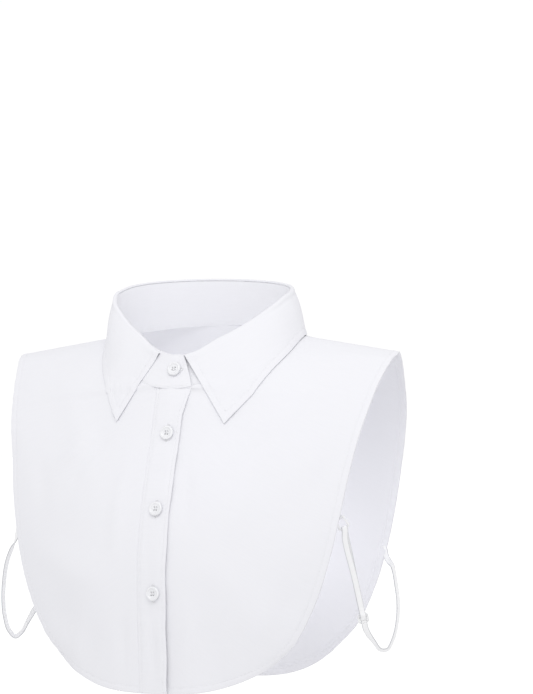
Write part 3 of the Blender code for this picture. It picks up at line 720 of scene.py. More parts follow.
# the wearer's left front runs on as a strip under the placket
underlap = [-11.7, -6.0, 0.0]
stripLevels = np.maximum(levels, levels[footRow] + 0.001)
strip = centreGrid(stripLevels, np.tile(underlap, (len(levels), 1)))
lapped = np.concatenate([strip[:, :2], panels["front_left"]], axis=1)
lappedFacing = np.concatenate([outwardOf(strip)[:, :2], outwardOf(panels["front_left"])], axis=1)
lappedKeep = np.ones((lapped.shape[0] - 1, lapped.shape[1] - 1), bool)
lappedKeep[:footRow, :2] = False

cloths = {
    "front_left": {"grid": lapped, "facing": lappedFacing, "keep": lappedKeep, "flat": (0.185, 0.290),
                   "area": 0.0445},
    "front_right": {"grid": panels["front_right"], "facing": outwardOf(panels["front_right"]), "keep": None,
                    "flat": (0.165, 0.290), "area": 0.0385},
    "back": {"grid": back, "facing": backFacing, "keep": backKeep, "flat": (0.345, 0.310), "area": 0.0860},
}
made, trees, outlines = {}, {}, {}
for name, plan in cloths.items():
    grid = plan["grid"]
    if name == "back":
        halves = [outlineOf(h) for h in backHalves]
        outline = np.concatenate([halves[0], halves[1][::-1]])
    else:
        outline = outlineOf(panels[name])
    distance, place = hemOf(grid, outline)
    outer, inner = hemThickness(distance, place)
    made[name] = shell(name + "_cloth", grid, plan["facing"], outer, inner, poplin, plan["keep"])
    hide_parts(name)
    trees[name], outlines[name] = treeOf(made[name]), outline
    surface = gridTree(*(backHalves if name == "back" else [panels[name]]))
    path = inset(outline, surface, hem["line"])
    sewn = hemStitches(name, path, surface, trees[name])
print("panels made")

placket = {"free": 12.0, "sewn": -12.6, "flare": 4.6, "cloth": 0.45, "lay": 1.05, "line": 2.6,
           "dip": (0.14, 0.7), "puff": (0.12, 1.1, 0.9), "puckers": (0.12, 2.0, 1.7, 13.0, 1.5, 4.5)}
placketCreases = [
    Crease(-7, -205, -5, -283, 2.6, 0.5, 1), Crease(1, -215, 2, -284, 3.4, -1.0, -1),
    Crease(7.5, -222, 8, -284, 2.2, 0.6, 0.5), Crease(3, -88, 6, -134, 3.0, 0.35, 1),
    Crease(-5, -146, -2, -200, 3.0, -0.35, -1), Crease(5, -150, 3, -198, 3.5, 0.3, 1),
]


def placketHeight(x, z):  # the placket ripples on its own
    total = 0.0 * x
    for c in placketCreases:
        t = np.clip((z - c.z1) / (c.z2 - c.z1), 0, 1)
        side = x - (c.x1 + (c.x2 - c.x1) * t) - c.bow * 4 * t * (1 - t)
        total = total + c.height * hill(side, 0.0, c.wide) * np.sin(np.pi * t) ** 1.3
    ripple = np.sin(z / 5.7 + 1.6 * np.sin(z / 17.0)) * smooth((-z - 60.0) / 60.0)
    return total + 0.22 * ripple * (0.4 + 0.6 * smooth((x + 12.0) / 20.0))


def placketGrid():
    rowLevels = np.concatenate([neckLevel + np.array([0.0012, 0.02, 0.05, 0.1, 0.15]),
                                np.linspace(4.22, 10.84, 130), [10.88, 10.92, 10.96, 10.985, hemLevel]])
    down = rowLevels - neckLevel
    share = np.array([0, 0.02, 0.045, 0.07, 0.1, 0.125, 0.15, 0.2, 0.27, 0.35, 0.43, 0.5, 0.57, 0.65, 0.73,
                      0.8, 0.85, 0.875, 0.9, 0.93, 0.955, 0.98, 1.0])
    flare = placket["flare"] * np.maximum(0.0, 1.0 - down / 0.6)
    free = placket["free"] + flare + 0.25 * np.sin(rowLevels * 5.1) * smooth((down - 0.5) / 2)
    xs = placket["sewn"] + (free - placket["sewn"])[:, None] * share[None, :]
    grid = centreGrid(rowLevels, xs)
    out = outwardOf(grid)
    # the free edge stands off a little, more so toward the hem, and the sewn edge hardly at all
    standOff = 0.5 + 1.5 * smooth((down - 3.0) / 4.0)[:, None]
    lift = placket["lay"] - 0.25 * (1 - share[None, :]) + standOff * smooth(share[None, :] * 1.6 - 0.6)
    lift = lift + 0.35 * np.sin(np.pi * share)[None, :]
    lift = lift + placketHeight(grid[..., 0], grid[..., 2])
    lift = lift - 0.62 * hill(xs, xs[:, :1], 2.4)
    fade = smooth(down / 0.3)[:, None]
    tucked = 0.5 * hill(down, 0.0, 0.15)[:, None]     # its top end goes in under the stand
    lift = placket["lay"] - tucked + (lift - placket["lay"]) * fade
    return grid + out * lift[..., None], xs


placketPoints, placketX = placketGrid()
sewnGap = placketX - placketX[:, :1]
freeGap = placketX[:, -1:] - placketX
middleColumn = 11
rowsRun = runLength(placketPoints[:, middleColumn])[:, None]
near = np.minimum(sewnGap, freeGap)
outer = (placket["cloth"] - dipAlong(placket, near) + puffBeside(placket, near)
         + puckersOf(placket, near, rowsRun))
made["placket"] = shell("placket_cloth", placketPoints, outwardOf(placketPoints), outer, placket["cloth"],
                        poplin)
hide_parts("placket")
trees["placket"] = treeOf(made["placket"])
placketSurface = gridTree(placketPoints)
for name, edge, away in (("sewn", 0, placket["line"]), ("free", -1, -placket["line"])):
    line = np.array([pointAt(xs[edge] + away, xs, row)
                     for row, xs in zip(placketPoints[2:-2], placketX[2:-2])])
    out = outwardAt(placketSurface, route(line, stitches["hem"][0]))
    stitchRow("placket_stitches_" + name, line, trees["placket"], out)
print("placket made")

# The fold at the top of the stand and the leaf's lower edge, on one side: angle round the neck from
# the centre front, and place
Fold = namedtuple("Fold", "angle x y z")
foldLine = [
    Fold(0, 0.0, -60.0, -18.6), Fold(12, 15.1, -54.5, -15.2), Fold(25, 29.8, -47.3, -8.2),
    Fold(39, 44.6, -39.8, 0.0), Fold(55, 59.9, -29.3, 12.0), Fold(70, 69.5, -20.5, 22.0),
    Fold(82, 73.5, -10.0, 29.5), Fold(95, 74.0, 1.0, 33.2), Fold(110, 71.0, 14.0, 37.2),
    Fold(130, 59.5, 30.5, 41.0), Fold(150, 39.0, 43.5, 43.6), Fold(165, 20.0, 48.8, 44.7),
    Fold(180, 0.0, 50.0, 45.0),
]
leafEdge = [
    Fold(8, 47.3, -75.5, -70.8), Fold(20, 54.8, -64.0, -61.0), Fold(32, 63.8, -54.0, -49.5),
    Fold(45, 73.2, -40.5, -34.0), Fold(60, 81.2, -26.0, -19.5), Fold(75, 84.0, -12.0, -8.8),
    Fold(92, 84.0, 3.5, -3.4), Fold(110, 77.5, 19.5, -2.0), Fold(130, 63.5, 37.5, -0.8),
    Fold(150, 43.0, 50.5, 0.8), Fold(165, 21.5, 54.5, 1.8), Fold(180, 0.0, 55.5, 2.2),
]
lean = {"side": 1.8, "tilt": 0.03, "angle": 80.0, "leaf": 2.3}


def roundTable(table, angles):  # points of a half table that is mirrored to the other side
    turn = (np.asarray(angles) + 180.0) % 360.0 - 180.0
    rows = [Fold(-r.angle, -r.x, r.y, r.z) for r in reversed(table[1:3]) if table[0].angle == 0]
    rows += list(table) + [Fold(360.0 - r.angle, -r.x, r.y, r.z) for r in table[-2:-4:-1]]
    at = np.maximum(np.abs(turn), table[0].angle)
    points = curveThrough([r.angle for r in rows], [(r.x, r.y, r.z) for r in rows], at)
    return points * np.stack([np.where(turn < 0, -1.0, 1.0), np.ones(len(at)), np.ones(len(at))], axis=1)


def foldPoints(angles):  # the worn collar leans a little to the wearer's right
    points = roundTable(foldLine, angles)
    turn = np.abs((np.asarray(angles) + 180.0) % 360.0 - 180.0)
    amount = np.minimum(1.0, turn / lean["angle"])
    points[:, 0] -= lean["side"] * amount
    points[:, 2] -= lean["tilt"] * (points[:, 0] + lean["side"] * amount) * amount
    return points


def foldAngle(x):
    return x / foldLine[1].x * foldLine[1].angle


stand = {"overlapFoot": 17.0, "overlapTop": 6.6, "underlap": 12.0, "cloth": 0.55, "lift": -0.5, "lap": 0.95,
         "line": 2.2, "dip": (0.12, 0.7), "foot": (0.25, 0.9)}


def seamAngle(x):
    return math.degrees(math.asin(x / neck["halfWidth"]))


def standGrid():
    first = (seamAngle(stand["overlapFoot"]), foldAngle(stand["overlapTop"]))
    last = -360.0 - seamAngle(stand["underlap"])
    ends = np.array([0, 0.25, 0.7, 1.2, 1.8, 2.5, 3.3])
    shares = np.array([0.0, 0.012, 0.03, 0.05, 0.075, 0.1, 0.15, 0.25, 0.37, 0.5, 0.62, 0.72, 0.8, 0.87,
                       0.92, 0.95, 0.975, 0.99, 1.0])
    rows = []
    for share in shares:
        # the button end's upper corner is rounded off
        start = first[0] + (first[1] - first[0]) * share - 2.2 * max(0.0, (share - 0.86) / 0.14) ** 2.5
        angles = np.concatenate([start - ends, np.linspace(start - 4.5, last + 4.5, 220),
                                 (last + ends)[::-1]])
        foot, top = neckPoints(angles), foldPoints(angles)
        rise = unit(top - foot)
        point = foot + rise * stand["lift"] + (top - foot - rise * (stand["lift"] - 0.15)) * share
        level = np.stack([point[:, 0], point[:, 1], np.zeros(len(angles))], axis=1)
        out = unit(np.cross(rise, np.cross(level, rise)))
        over = np.clip((angles + 40.0) / 30.0, 0, 1)
        under = np.clip((-320.0 - angles) / 30.0, 0, 1)
        swell = 0.35 * np.sin(np.radians(angles * 5.0) + 0.7) + 0.25 * np.sin(np.radians(angles * 11.0))
        swell = swell * np.sin(np.pi * share) * smooth((-angles - 15) / 20) * smooth((angles + 345) / 20)
        lap = stand["lap"] * (over * (1 - 0.35 * hill(share, 0.0, 0.05)) - under)
        rows.append(point + out * (lap + swell)[:, None])
    return np.array(rows), shares


standPoints, standShares = standGrid()
height = np.linalg.norm(standPoints[-1] - standPoints[0], axis=1)[None, :]
footGap = standShares[:, None] * height
endGap = np.minimum(clothLengths(standPoints)[..., 0], clothLengths(standPoints[:, ::-1])[:, ::-1, 0])
near = np.minimum(footGap, endGap)
thinner, over = stand["foot"]     # thinner at its foot, where it goes into the neck seam
outer = stand["cloth"] - dipAlong(stand, near) - thinner * hill(footGap, 0.0, over)
made["stand"] = shell("stand_cloth", standPoints, outwardOfRing(standPoints), outer, outer, poplin)
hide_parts("collar_stand")
trees["stand"] = treeOf(made["stand"])
footLine = np.array([pointAt(stand["line"], column, standPoints[:, c])
                     for c, column in enumerate(footGap.T)])[6:-6]
endLine = np.array([pointAt(stand["line"], run, standPoints[r])
                    for r, run in enumerate(clothLengths(standPoints)[..., 0])])[5:-3]
for name, line, way in (("stand_stitches", footLine, 1), ("stand_stitches_inside", footLine, -1),
                        ("stand_end_stitches", endLine, 1)):
    out = ringOut(route(line, stitches["collar"][0])) * way
    stitchRow(name, line, trees["stand"], out, "collar")
print("stand made")

leaf = {
    "gapRight": 13.2, "gapLeft": 7.2,      # where its front edges leave the fold, from the centre line
    "tips": (9.5, 8.0),                    # the angles of its points, right and left
    "bulge": 2.4, "clear": 1.15, "cloth": 0.5, "line": 5.2, "dip": (0.18, 0.8), "puff": (0.12, 2.6, 1.6),
    "puckers": (0.08, 2.1, 1.2, 12.0, 3.0, 6.0),
    # how far the lower edge is moved along X, by the angle from the front
    "shiftRight": [(10, -2.2), (20, -1.8), (27, 0.0), (34, 2.3), (42, 0.8), (52, 0.0)],
    "shiftLeft": [(8, -1.6), (16, -0.8), (26, 0.0)],
    # the section of the fold at the top: out and up from the fold line
    "roll": [(0.0, 1.0), (0.7, 1.9), (1.9, 1.9), (2.8, 1.0), (3.2, -0.8)],
}


def movedOut(tree, point, clear, most=1000.0):
    # a point, moved off the panels where it is nearer than clear, and onto them where it is past most
    place, facing = nearOn(tree, point)
    facing = toward(facing, np.array([place[0], place[1], 70.0]))
    gap = (point - place) @ facing
    return point + facing * (min(max(gap, clear), most) - gap)


# rows lie closer together by the stitched edge
leafEdgeRows = np.array([7.6, 6.9, 6.3, 5.8, 5.4, 5.0, 4.6, 4.1, 3.2, 2.2, 1.2, 0.5, 0.0])


def leafGrid(tree):
    ends = np.array([0, 0.25, 0.6, 1.1, 1.7, 2.3, 2.9, 3.3, 3.7, 4.1, 4.6, 5.2, 6.0, 7.0])
    first, last = -foldAngle(leaf["gapRight"]), -360.0 + foldAngle(leaf["gapLeft"])
    angles = np.concatenate([first - ends, np.linspace(first - 8.2, last + 8.2, 150), (last + ends)[::-1]])
    tops, feet = foldPoints(angles), neckPoints(angles)
    turn = (angles + 180.0) % 360.0 - 180.0
    end = np.where(turn < 0, -first, 360.0 + last)
    tip = np.where(turn < 0, *leaf["tips"])
    at = np.sign(turn) * (tip + (np.abs(turn) - end) * (180.0 - tip) / (180.0 - end))
    edges = roundTable(leafEdge, at) + np.array([lean["leaf"], 0.0, 0.0])
    for ahead, shifts in ((turn < 0, leaf["shiftRight"]), (turn >= 0, leaf["shiftLeft"])):
        edges[:, 0] += np.where(ahead, np.interp(np.abs(turn), *zip(*shifts)), 0.0)
    run = foldPoints(angles + 1.0) - foldPoints(angles - 1.0)
    out = unit(np.cross(run, tops - feet))
    up = unit(np.cross(out, run))
    lifts = 0.5 * np.sin(np.radians(angles * 4.0) + 1.0) + 0.3 * np.sin(np.radians(angles * 9.0))
    columns = []
    for n, angle in enumerate(angles):
        inner = smooth(min(-angle - 12, angle + 348) / 30.0)
        clear = leaf["clear"] + 0.5 * inner * max(0.0, lifts[n])
        edge = movedOut(tree, edges[n], clear, clear + 0.4 + 5.0 * inner)
        full = float(smooth(min(first - angle, angle - last) / 26.0))   # the fold lies flat at the front
        rib = [tops[n] + out[n] * o * (0.72 + 0.28 * full) + up[n] * (u * full - 1.5 * (1 - full))
               for o, u in leaf["roll"]]
        start = rib[-1]
        for share in np.linspace(0.12, 1.0, 9):
            bulge = out[n] * (leaf["bulge"] * (0.12 + 0.88 * full) + 0.5 * lifts[n] * inner)
            bulge = bulge * math.sin(math.pi * share) * (1 - share)
            rib.append(movedOut(tree, start + (edge - start) * share + bulge, leaf["clear"]))
        rib = np.array(rib)
        length = runLength(rib)
        at = np.concatenate([np.linspace(0, 9.0, 12), np.linspace(9.0, length[-1] - 8.4, 30)[1:],
                             length[-1] - leafEdgeRows])
        columns.append(curveThrough(length, rib, at))
    return np.array(columns).transpose(1, 0, 2)


panelTree = gridTree(panels["front_left"], panels["front_right"], *backHalves, standPoints)
leafPoints = leafGrid(panelTree)
sides = [leafPoints[10:, 0], leafPoints[-1], leafPoints[10:, -1][::-1]]
outline = np.concatenate([route(side, 1.0) for side in sides])
distance, place = hemOf(leafPoints, outline)
outer = (leaf["cloth"] - dipAlong(leaf, distance) + puffBeside(leaf, distance)
         + puckersOf(leaf, distance, place))
made["leaf"] = shell("leaf_cloth", leafPoints, outwardOfRing(leafPoints), outer, leaf["cloth"], poplin)
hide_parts("collar_leaf")
trees["leaf"] = treeOf(made["leaf"])
line = leafLine(leafPoints, leaf["line"])
leafOut = outwardAt(gridTree(leafPoints), route(line, stitches["collar"][0]))
leafStitches = stitchRow("leaf_stitches", line, trees["leaf"], leafOut, "collar")
print("leaf made")

button = {
    "sides": 48, "holeOffset": 0.98, "holeRadius": 0.66, "above": 0.5,
    # radius and height, from the middle of the face over the rim and back under
    "profile": [(0.0, 1.25), (2.6, 1.25), (3.3, 1.32), (3.75, 1.6), (4.1, 1.98), (4.55, 2.16), (5.0, 2.1),
                (5.45, 1.75), (5.72, 1.2), (5.6, 0.6), (5.0, 0.18), (4.2, 0.0), (0.0, 0.0)],
    "heights": [-80.3, -139.8, -205.5], "shifts": [2.2, 1.2, 2.2], "standShift": 1.6, "standShare": 0.56,
    "strands": (-0.36, 0.0, 0.36), "strand": 0.26, "shank": 1.1,     # thread: its places, half thicknesses
    # the buttonhole: half length, half width, the stitches' pitch and their length, width and height
    "hole": (7.2, 0.95), "holePitch": 0.44, "holeStitch": (1.2, 0.25, 0.2),
}


def evaluated(thing, look, sharp):  # the finished mesh of an object that is then removed
    bpy.context.view_layer.update()
    mesh = bpy.data.meshes.new_from_object(thing.evaluated_get(bpy.context.evaluated_depsgraph_get()))
    bpy.data.objects.remove(thing)
    mesh.materials.clear()
    mesh.materials.append(look)
    mesh.shade_smooth()
    mesh.set_sharp_from_angle(angle=math.radians(sharp))
    return mesh


def buttonMesh(plan):
    # turned from its profile, then the four holes are cut and their rims softened
    profile = bpy.data.meshes.new("button profile")
    profile.from_pydata([(r * mm, 0, z * mm) for r, z in plan["profile"]],
                        [(i, i + 1) for i in range(len(plan["profile"]) - 1)], [])
    turned = newObject("button profile", profile)
    screw = turned.modifiers.new("turned", "SCREW")
    screw.steps = screw.render_steps = plan["sides"]
    screw.use_merge_vertices, screw.merge_threshold = True, 0.01 * mm
    screw.use_normal_calculate = True
    holes = bmesh.new()
    for x, y in ((1, 1), (1, -1), (-1, 1), (-1, -1)):
        place = Matrix.Translation(Vector((x, y, 0)) * plan["holeOffset"] * mm)
        bmesh.ops.create_cone(holes, cap_ends=True, segments=20, radius1=plan["holeRadius"] * mm,
                              radius2=plan["holeRadius"] * mm, depth=8 * mm, matrix=place)
    cutterMesh = bpy.data.meshes.new("button holes")
    holes.to_mesh(cutterMesh)
    holes.free()
    cutter = newObject("button holes", cutterMesh)
    drill = turned.modifiers.new("holes", "BOOLEAN")
    drill.operation, drill.object = "DIFFERENCE", cutter
    edge = turned.modifiers.new("soft rims", "BEVEL")
    edge.width, edge.segments = 0.12 * mm, 2
    edge.limit_method, edge.angle_limit = "ANGLE", math.radians(50)
    mesh = evaluated(turned, pearl, 42)
    bpy.data.objects.remove(cutter)
    return mesh


def facingMatrix(place, facing, up):  # metres, with Z out of the cloth and Y along up
    facing = unit(facing)
    up = unit(up - facing * (up @ facing))
    turn = Matrix([list(np.cross(up, facing)), list(up), list(facing)]).transposed().to_4x4()
    return Matrix.Translation(Vector(place * mm)) @ turn


def roundedRing(long, wide, count=44):  # the outline of a buttonhole
    turns = np.linspace(0, 2 * np.pi, count, endpoint=False)
    y = np.sin(turns) * wide + np.sign(np.sin(turns)) * (long - wide)
    return np.stack([np.cos(turns) * wide, y], axis=1)


def sewOn(number, mesh, place, facing, up, tree):
    # the button, the thread through its holes and round its shank, and the buttonhole under it
    pose = facingMatrix(place, facing, up)
    body = newObject("button_%d_face" % number, mesh.copy())
    body.data.transform(pose)
    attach(body, "root")
    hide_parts("button_%d" % number)
    turn = np.array(pose)[:3, :3]
    across = np.linspace(-1, 1, 13)
    # each strand bows over the face between two holes and dips into them
    over = 0.42 * np.maximum(0, 1 - across ** 4) - 4.0 * np.maximum(0, np.abs(across) - 0.75)
    lines = []
    for side in (-1, 1):
        for strand in button["strands"]:
            x = side * button["holeOffset"] + strand * (1 - 0.5 * across ** 2)
            z = button["profile"][0][1] + over + 0.1 * (strand == 0.0)
            lines.append(np.stack([x, across * button["holeOffset"], z], axis=1) @ turn.T + place)
    for n, line in enumerate(lines):
        sweep("button_%d_thread_%d" % (number, n + 1), line, np.tile(turn[:, 0], (len(line), 1)),
              (button["strand"], button["strand"]), thread, sides=8, flatness=1.0)
    shank = np.array([[0.0, 0.0, z] for z in np.linspace(-button["above"] - 0.2, 0.5, 5)]) @ turn.T + place
    sweep("button_%d_shank" % number, shank, np.tile(turn[:, 0], (len(shank), 1)),
          (button["shank"], button["shank"]), thread, sides=12, flatness=1.0)
    ring = np.array([nearOn(tree, place + turn[:, 0] * x + turn[:, 1] * y)[0] + turn[:, 2] * 0.05
                     for x, y in roundedRing(*button["hole"])])
    ring = np.concatenate([ring, ring[:1]])
    length = runLength(ring)
    bars = []
    for at in np.linspace(0, length[-1], int(length[-1] / button["holePitch"]), endpoint=False):
        spot = pointAt(at, length, ring)
        ahead = pointAt((at + 0.4) % length[-1], length, ring)
        across = unit(np.cross(turn[:, 2], ahead - spot))
        bars.append(stitch(spot, across, turn[:, 2], *button["holeStitch"]))
    joined("buttonhole_%d_stitches" % number, bars, thread)


face = buttonMesh(button)
middle = placketPoints[:, middleColumn]
middleOut = outwardOf(placketPoints)[:, middleColumn]
level = placketPoints[60]     # a row across, for how far back a button beside the middle lies
for number, (heightAt, shift) in enumerate(zip(button["heights"], button["shifts"]), start=2):
    place = pointAt(-heightAt, -middle[:, 2], middle)
    setBack = np.interp(shift, level[:, 0], level[:, 1]) - level[middleColumn, 1]
    place = np.array([shift, setBack + place[1], place[2]])
    # no two sit quite alike
    facing = unit(pointAt(-heightAt, -middle[:, 2], middleOut))
    facing = unit(facing + np.array([0.03 * math.sin(number * 2.3), 0.0, 0.05 * math.cos(number * 1.7)]))
    up = np.array([0.05 * math.sin(number * 3.1), 0.0, 1.0])
    sewOn(number, face, place + facing * (placket["cloth"] + button["above"]), facing, up, trees["placket"])
foot, top = neckPoints(np.array([0.0]))[0], foldPoints(np.array([0.0]))[0]
facing = toward(unit(np.cross([1.0, 0.0, 0.0], top - foot)), np.array([0.0, -1.0, 0.0]))
place = foot + (top - foot) * button["standShare"] + np.array([button["standShift"], 0.0, 0.0])
place = nearOn(trees["stand"], place + facing * 4.0)[0] + facing * button["above"]
sewOn(1, face, place, facing, np.array([1.0, 0.0, 0.06]), trees["stand"])
print("buttons made")

strap = {
    # the elastic is a flat band, and the loop shows nearly its edge: turn is in degrees
    "wide": 4.8, "thick": 0.95, "turn": 31.0, "flat": 0.45,
    "wire": 0.8, "ringOut": 0.6, "ringIn": 4.9, "hang": (0.55, 0.75, 0.3),
    "ring": [(-0.4, 2.2), (0.0, 2.7), (1.0, 3.2), (7.6, 3.9), (8.6, 3.6), (9.0, 2.8)],
    "bar": 9.0, "sliderTall": 8.0, "sliderWide": 9.0, "sliderHalf": 0.85, "slot": (6.6, 1.7, 1.9),
    "soft": 0.32, "corner": 1.5, "slotCorner": 0.55,     # the slider's edges and corners
    # the tab, from its sewn end to the ring: down and half its thickness, then its layers at the panel
    "tab": [(-9.5, 0.4), (-8.5, 0.4), (-7.5, 0.4), (-6.0, 0.4), (-4.4, 0.45), (-3.0, 0.6), (-1.8, 0.9),
            (-0.9, 1.2)],
    "tabHalf": 1.9, "tabCloth": 0.3, "tabLayers": (1.3, 0.55),
    # the elastic at the slider, as places down and out: up behind it, and down through its slots
    "behind": [(1.0, -0.95), (0.0, -1.1), (-1.8, -1.5), (-3.4, -2.3), (-5.5, -1.7)],
    "through": [(-5.6, -0.3), (-3.4, -1.36), (-2.0, -0.5), (-0.9, 0.95), (0.0, 1.4), (0.9, 0.95),
                (2.0, -0.5), (3.4, -1.36)],
}
straps = [
    {"side": "left", "near": "front_left", "far": "back", "behind": False, "heights": (-146.0, -178.0),
     "slider": (145.6, -21.5, -226.5),
     "loop": [(149, -6, -246.5), (152, 1, -253), (155, 8, -253.2), (157.4, 15, -245.5), (158.3, 22, -232.5),
              (156.5, 29.5, -219), (151.5, 38.5, -204), (145.5, 47, -190.5)]},
    {"side": "right", "near": "back", "far": "front_right", "behind": True, "heights": (-168.0, -160.5),
     "slider": (-157.2, 12.8, -221.5),
     "loop": [(-160.5, 3.5, -232), (-162.5, -3.5, -240.5), (-164.3, -10.5, -248.5), (-166.5, -17.5, -251.5),
              (-168.7, -24.5, -246), (-169.2, -31, -234), (-167.5, -37, -220.5), (-163, -44, -203.5),
              (-156.5, -51, -187), (-148.5, -56.5, -174)]},
]
Axes = namedtuple("Axes", "place down wide thick")     # where a strap's piece is and which way it lies


def edgeFrame(behind, heightAt, side):
    # a place on a panel's edge, with its directions down along the edge, out and inward
    sections = backSections if behind else frontSections
    ends = [0.96, 1.0]
    rowLevels = np.linspace(neckLevel, hemLevel, 400)
    rim = panelGrid(sections, rowLevels, np.tile(ends, (len(rowLevels), 1)), 0.0, behind)
    level = float(np.interp(-heightAt, -rim[:, 1, 2], rowLevels))
    rim = panelGrid(sections, np.array([level, level + 0.2]), np.tile(ends, (2, 1)), 0.0, behind)
    rim[..., 0] *= side
    edge, down, out = rim[0, 1], unit(rim[1, 1] - rim[0, 1]), unit(rim[0, 1] - rim[0, 0])
    inward = toward(unit(np.cross(down, out)), np.array([0.0, -edge[1], 0.0]))
    return edge, down, out, inward


def inFrame(axes, down, wide, thick):
    return axes.place + axes.down * down + axes.wide * wide + axes.thick * thick


def makeTab(side, axes, inward, tree):
    # a strip of cloth folded round the ring's top, with both ends sewn flat inside the panel's edge
    fold, half = strap["wire"] + 0.5, strap["tab"]
    turned = [(fold * math.sin(a) - 0.4, fold * math.cos(a)) for a in np.radians(np.linspace(0, 180, 11))]
    rows = []
    for down, thick in half + turned + [(d, -t) for d, t in reversed(half)]:
        press = float(smooth((-down - 3.0) / 4.0))
        layer = strap["tabLayers"][0 if thick * (axes.thick @ inward) > 0 else 1]
        row = []
        for wide in np.linspace(-1, 1, 7) * strap["tabHalf"]:
            point = inFrame(axes, down, wide, thick)
            place, facing = nearOn(tree, point)
            row.append(point + (place + toward(facing, inward) * layer - point) * press)
        rows.append(row)
    grid = np.array(rows)
    tab = shell("strap_tab_%s_cloth" % side, grid, normalsOf(grid), strap["tabCloth"], strap["tabCloth"],
                poplin)
    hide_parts("strap_tab_" + side)
    for row, name in ((1, "top"), (4, "low")):
        stitchRow("strap_tab_%s_stitches_%s" % (side, name), grid[row], treeOf(tab), inward, "tab")


def makeRing(side, axes):
    half = strap["ring"]
    corners = np.array([inFrame(axes, d, w, 0.0) for d, w in half + [(d, -w) for d, w in reversed(half)]])
    count = len(corners)
    twice = np.arange(-2, count + 3)     # past both ends, so that the ring closes smoothly
    around = curveThrough(twice, corners[twice % count], np.linspace(0, count, 96, endpoint=False))
    ring = sweep("strap_ring_%s_wire" % side, around, np.tile(axes.thick, (len(around), 1)),
                 (strap["wire"], strap["wire"]), plastic, closed=True, sides=14, flatness=1.0)
    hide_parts("strap_ring_" + side)


def rounded(halfWide, halfTall, radius, shift=0.0):  # a rounded rectangle
    turns = np.linspace(0, 2 * np.pi, 32, endpoint=False) + np.pi / 32
    x = np.cos(turns) * radius + np.sign(np.cos(turns)) * (halfWide - radius)
    y = np.sin(turns) * radius + np.sign(np.sin(turns)) * (halfTall - radius) + shift
    return np.stack([x, y], axis=1)


def makeSlider(side, axes):
    curve = bpy.data.curves.new("slider outline", "CURVE")
    curve.dimensions, curve.fill_mode = "2D", "BOTH"
    soft = strap["soft"]
    curve.bevel_depth, curve.bevel_resolution = soft * mm, 3
    curve.extrude = (strap["sliderHalf"] - soft) * mm
    long, short, shift = strap["slot"]
    outer = rounded(strap["sliderWide"] / 2 - soft, strap["sliderTall"] / 2 - soft, strap["corner"])
    slots = [rounded(long / 2 + soft, short / 2 + 0.1, strap["slotCorner"], at) for at in (-shift, shift)]
    for line in (outer, *slots):
        spline = curve.splines.new("POLY")
        spline.points.add(len(line) - 1)
        for point, (x, y) in zip(spline.points, line * mm):
            point.co = (x, y, 0.0, 1.0)
        spline.use_cyclic_u = True
    mesh = evaluated(newObject("slider outline", curve), plastic, 50)
    turn = Matrix([list(axes.wide), list(axes.down), list(axes.thick)]).transposed().to_4x4()
    mesh.transform(Matrix.Translation(Vector(axes.place * mm)) @ turn)
    slider = newObject("strap_slider_%s_frame" % side, mesh)
    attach(slider, "root")
    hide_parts("strap_slider_" + side)
    return slider


def makeDoubled(side, axes, ringAxes, bar):
    # one flat band: sewn round the slider's middle bar, up behind, round the ring's bar, down in front
    # and through the slider
    span = np.linalg.norm(axes.place - bar) - strap["sliderTall"] / 2
    stretch = (axes.place - bar) * span / (span + 4)
    azimuth = math.radians(cameraPlan["azimuth"])
    aside = -np.sign(axes.wide @ np.array([math.cos(azimuth), math.sin(azimuth), 0.0]))
    radius = strap["wire"] + strap["thick"] / 2 + 0.02
    path = [inFrame(axes, down, 0.0, out) for down, out in strap["behind"]]
    for share in (0.8, 0.6, 0.4, 0.22, 0.1):
        # the rear layer lies a little to the left of the front one, as seen
        sideways = aside * 1.9 * smooth(1 - share / 0.75) * (1 - 0.55 * smooth(1 - share / 0.2))
        off = 0.62 + 0.65 * (1 - share) ** 2
        path.append(bar + stretch * share - axes.thick * off + axes.wide * sideways)
    path += [bar - axes.thick * radius * math.cos(a) - axes.down * radius * math.sin(a)
             for a in np.radians(np.linspace(0, 180, 9))]
    for share in (0.1, 0.25, 0.45, 0.65, 0.85):
        off = 0.45 + 0.8 * (1 - share) ** 2 + 0.25 * math.sin(math.pi * share)
        path.append(bar + stretch * share + axes.thick * off)
    path += [inFrame(axes, down, 0.0, out) for down, out in strap["through"]]
    line = route(path, 0.8)
    near = hill(runLength(line) / runLength(line)[-1], 0.49, 0.12)[:, None]     # by the ring's bar
    wides = ringAxes.wide * near + axes.wide * (1 - near)
    piece = sweep("strap_doubled_%s_band" % side, line, wides, (strap["wide"] / 2, strap["thick"] / 2),
                  elastic, sides=16, flatness=strap["flat"])
    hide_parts("strap_doubled_" + side, "strap_return_" + side)
    return piece


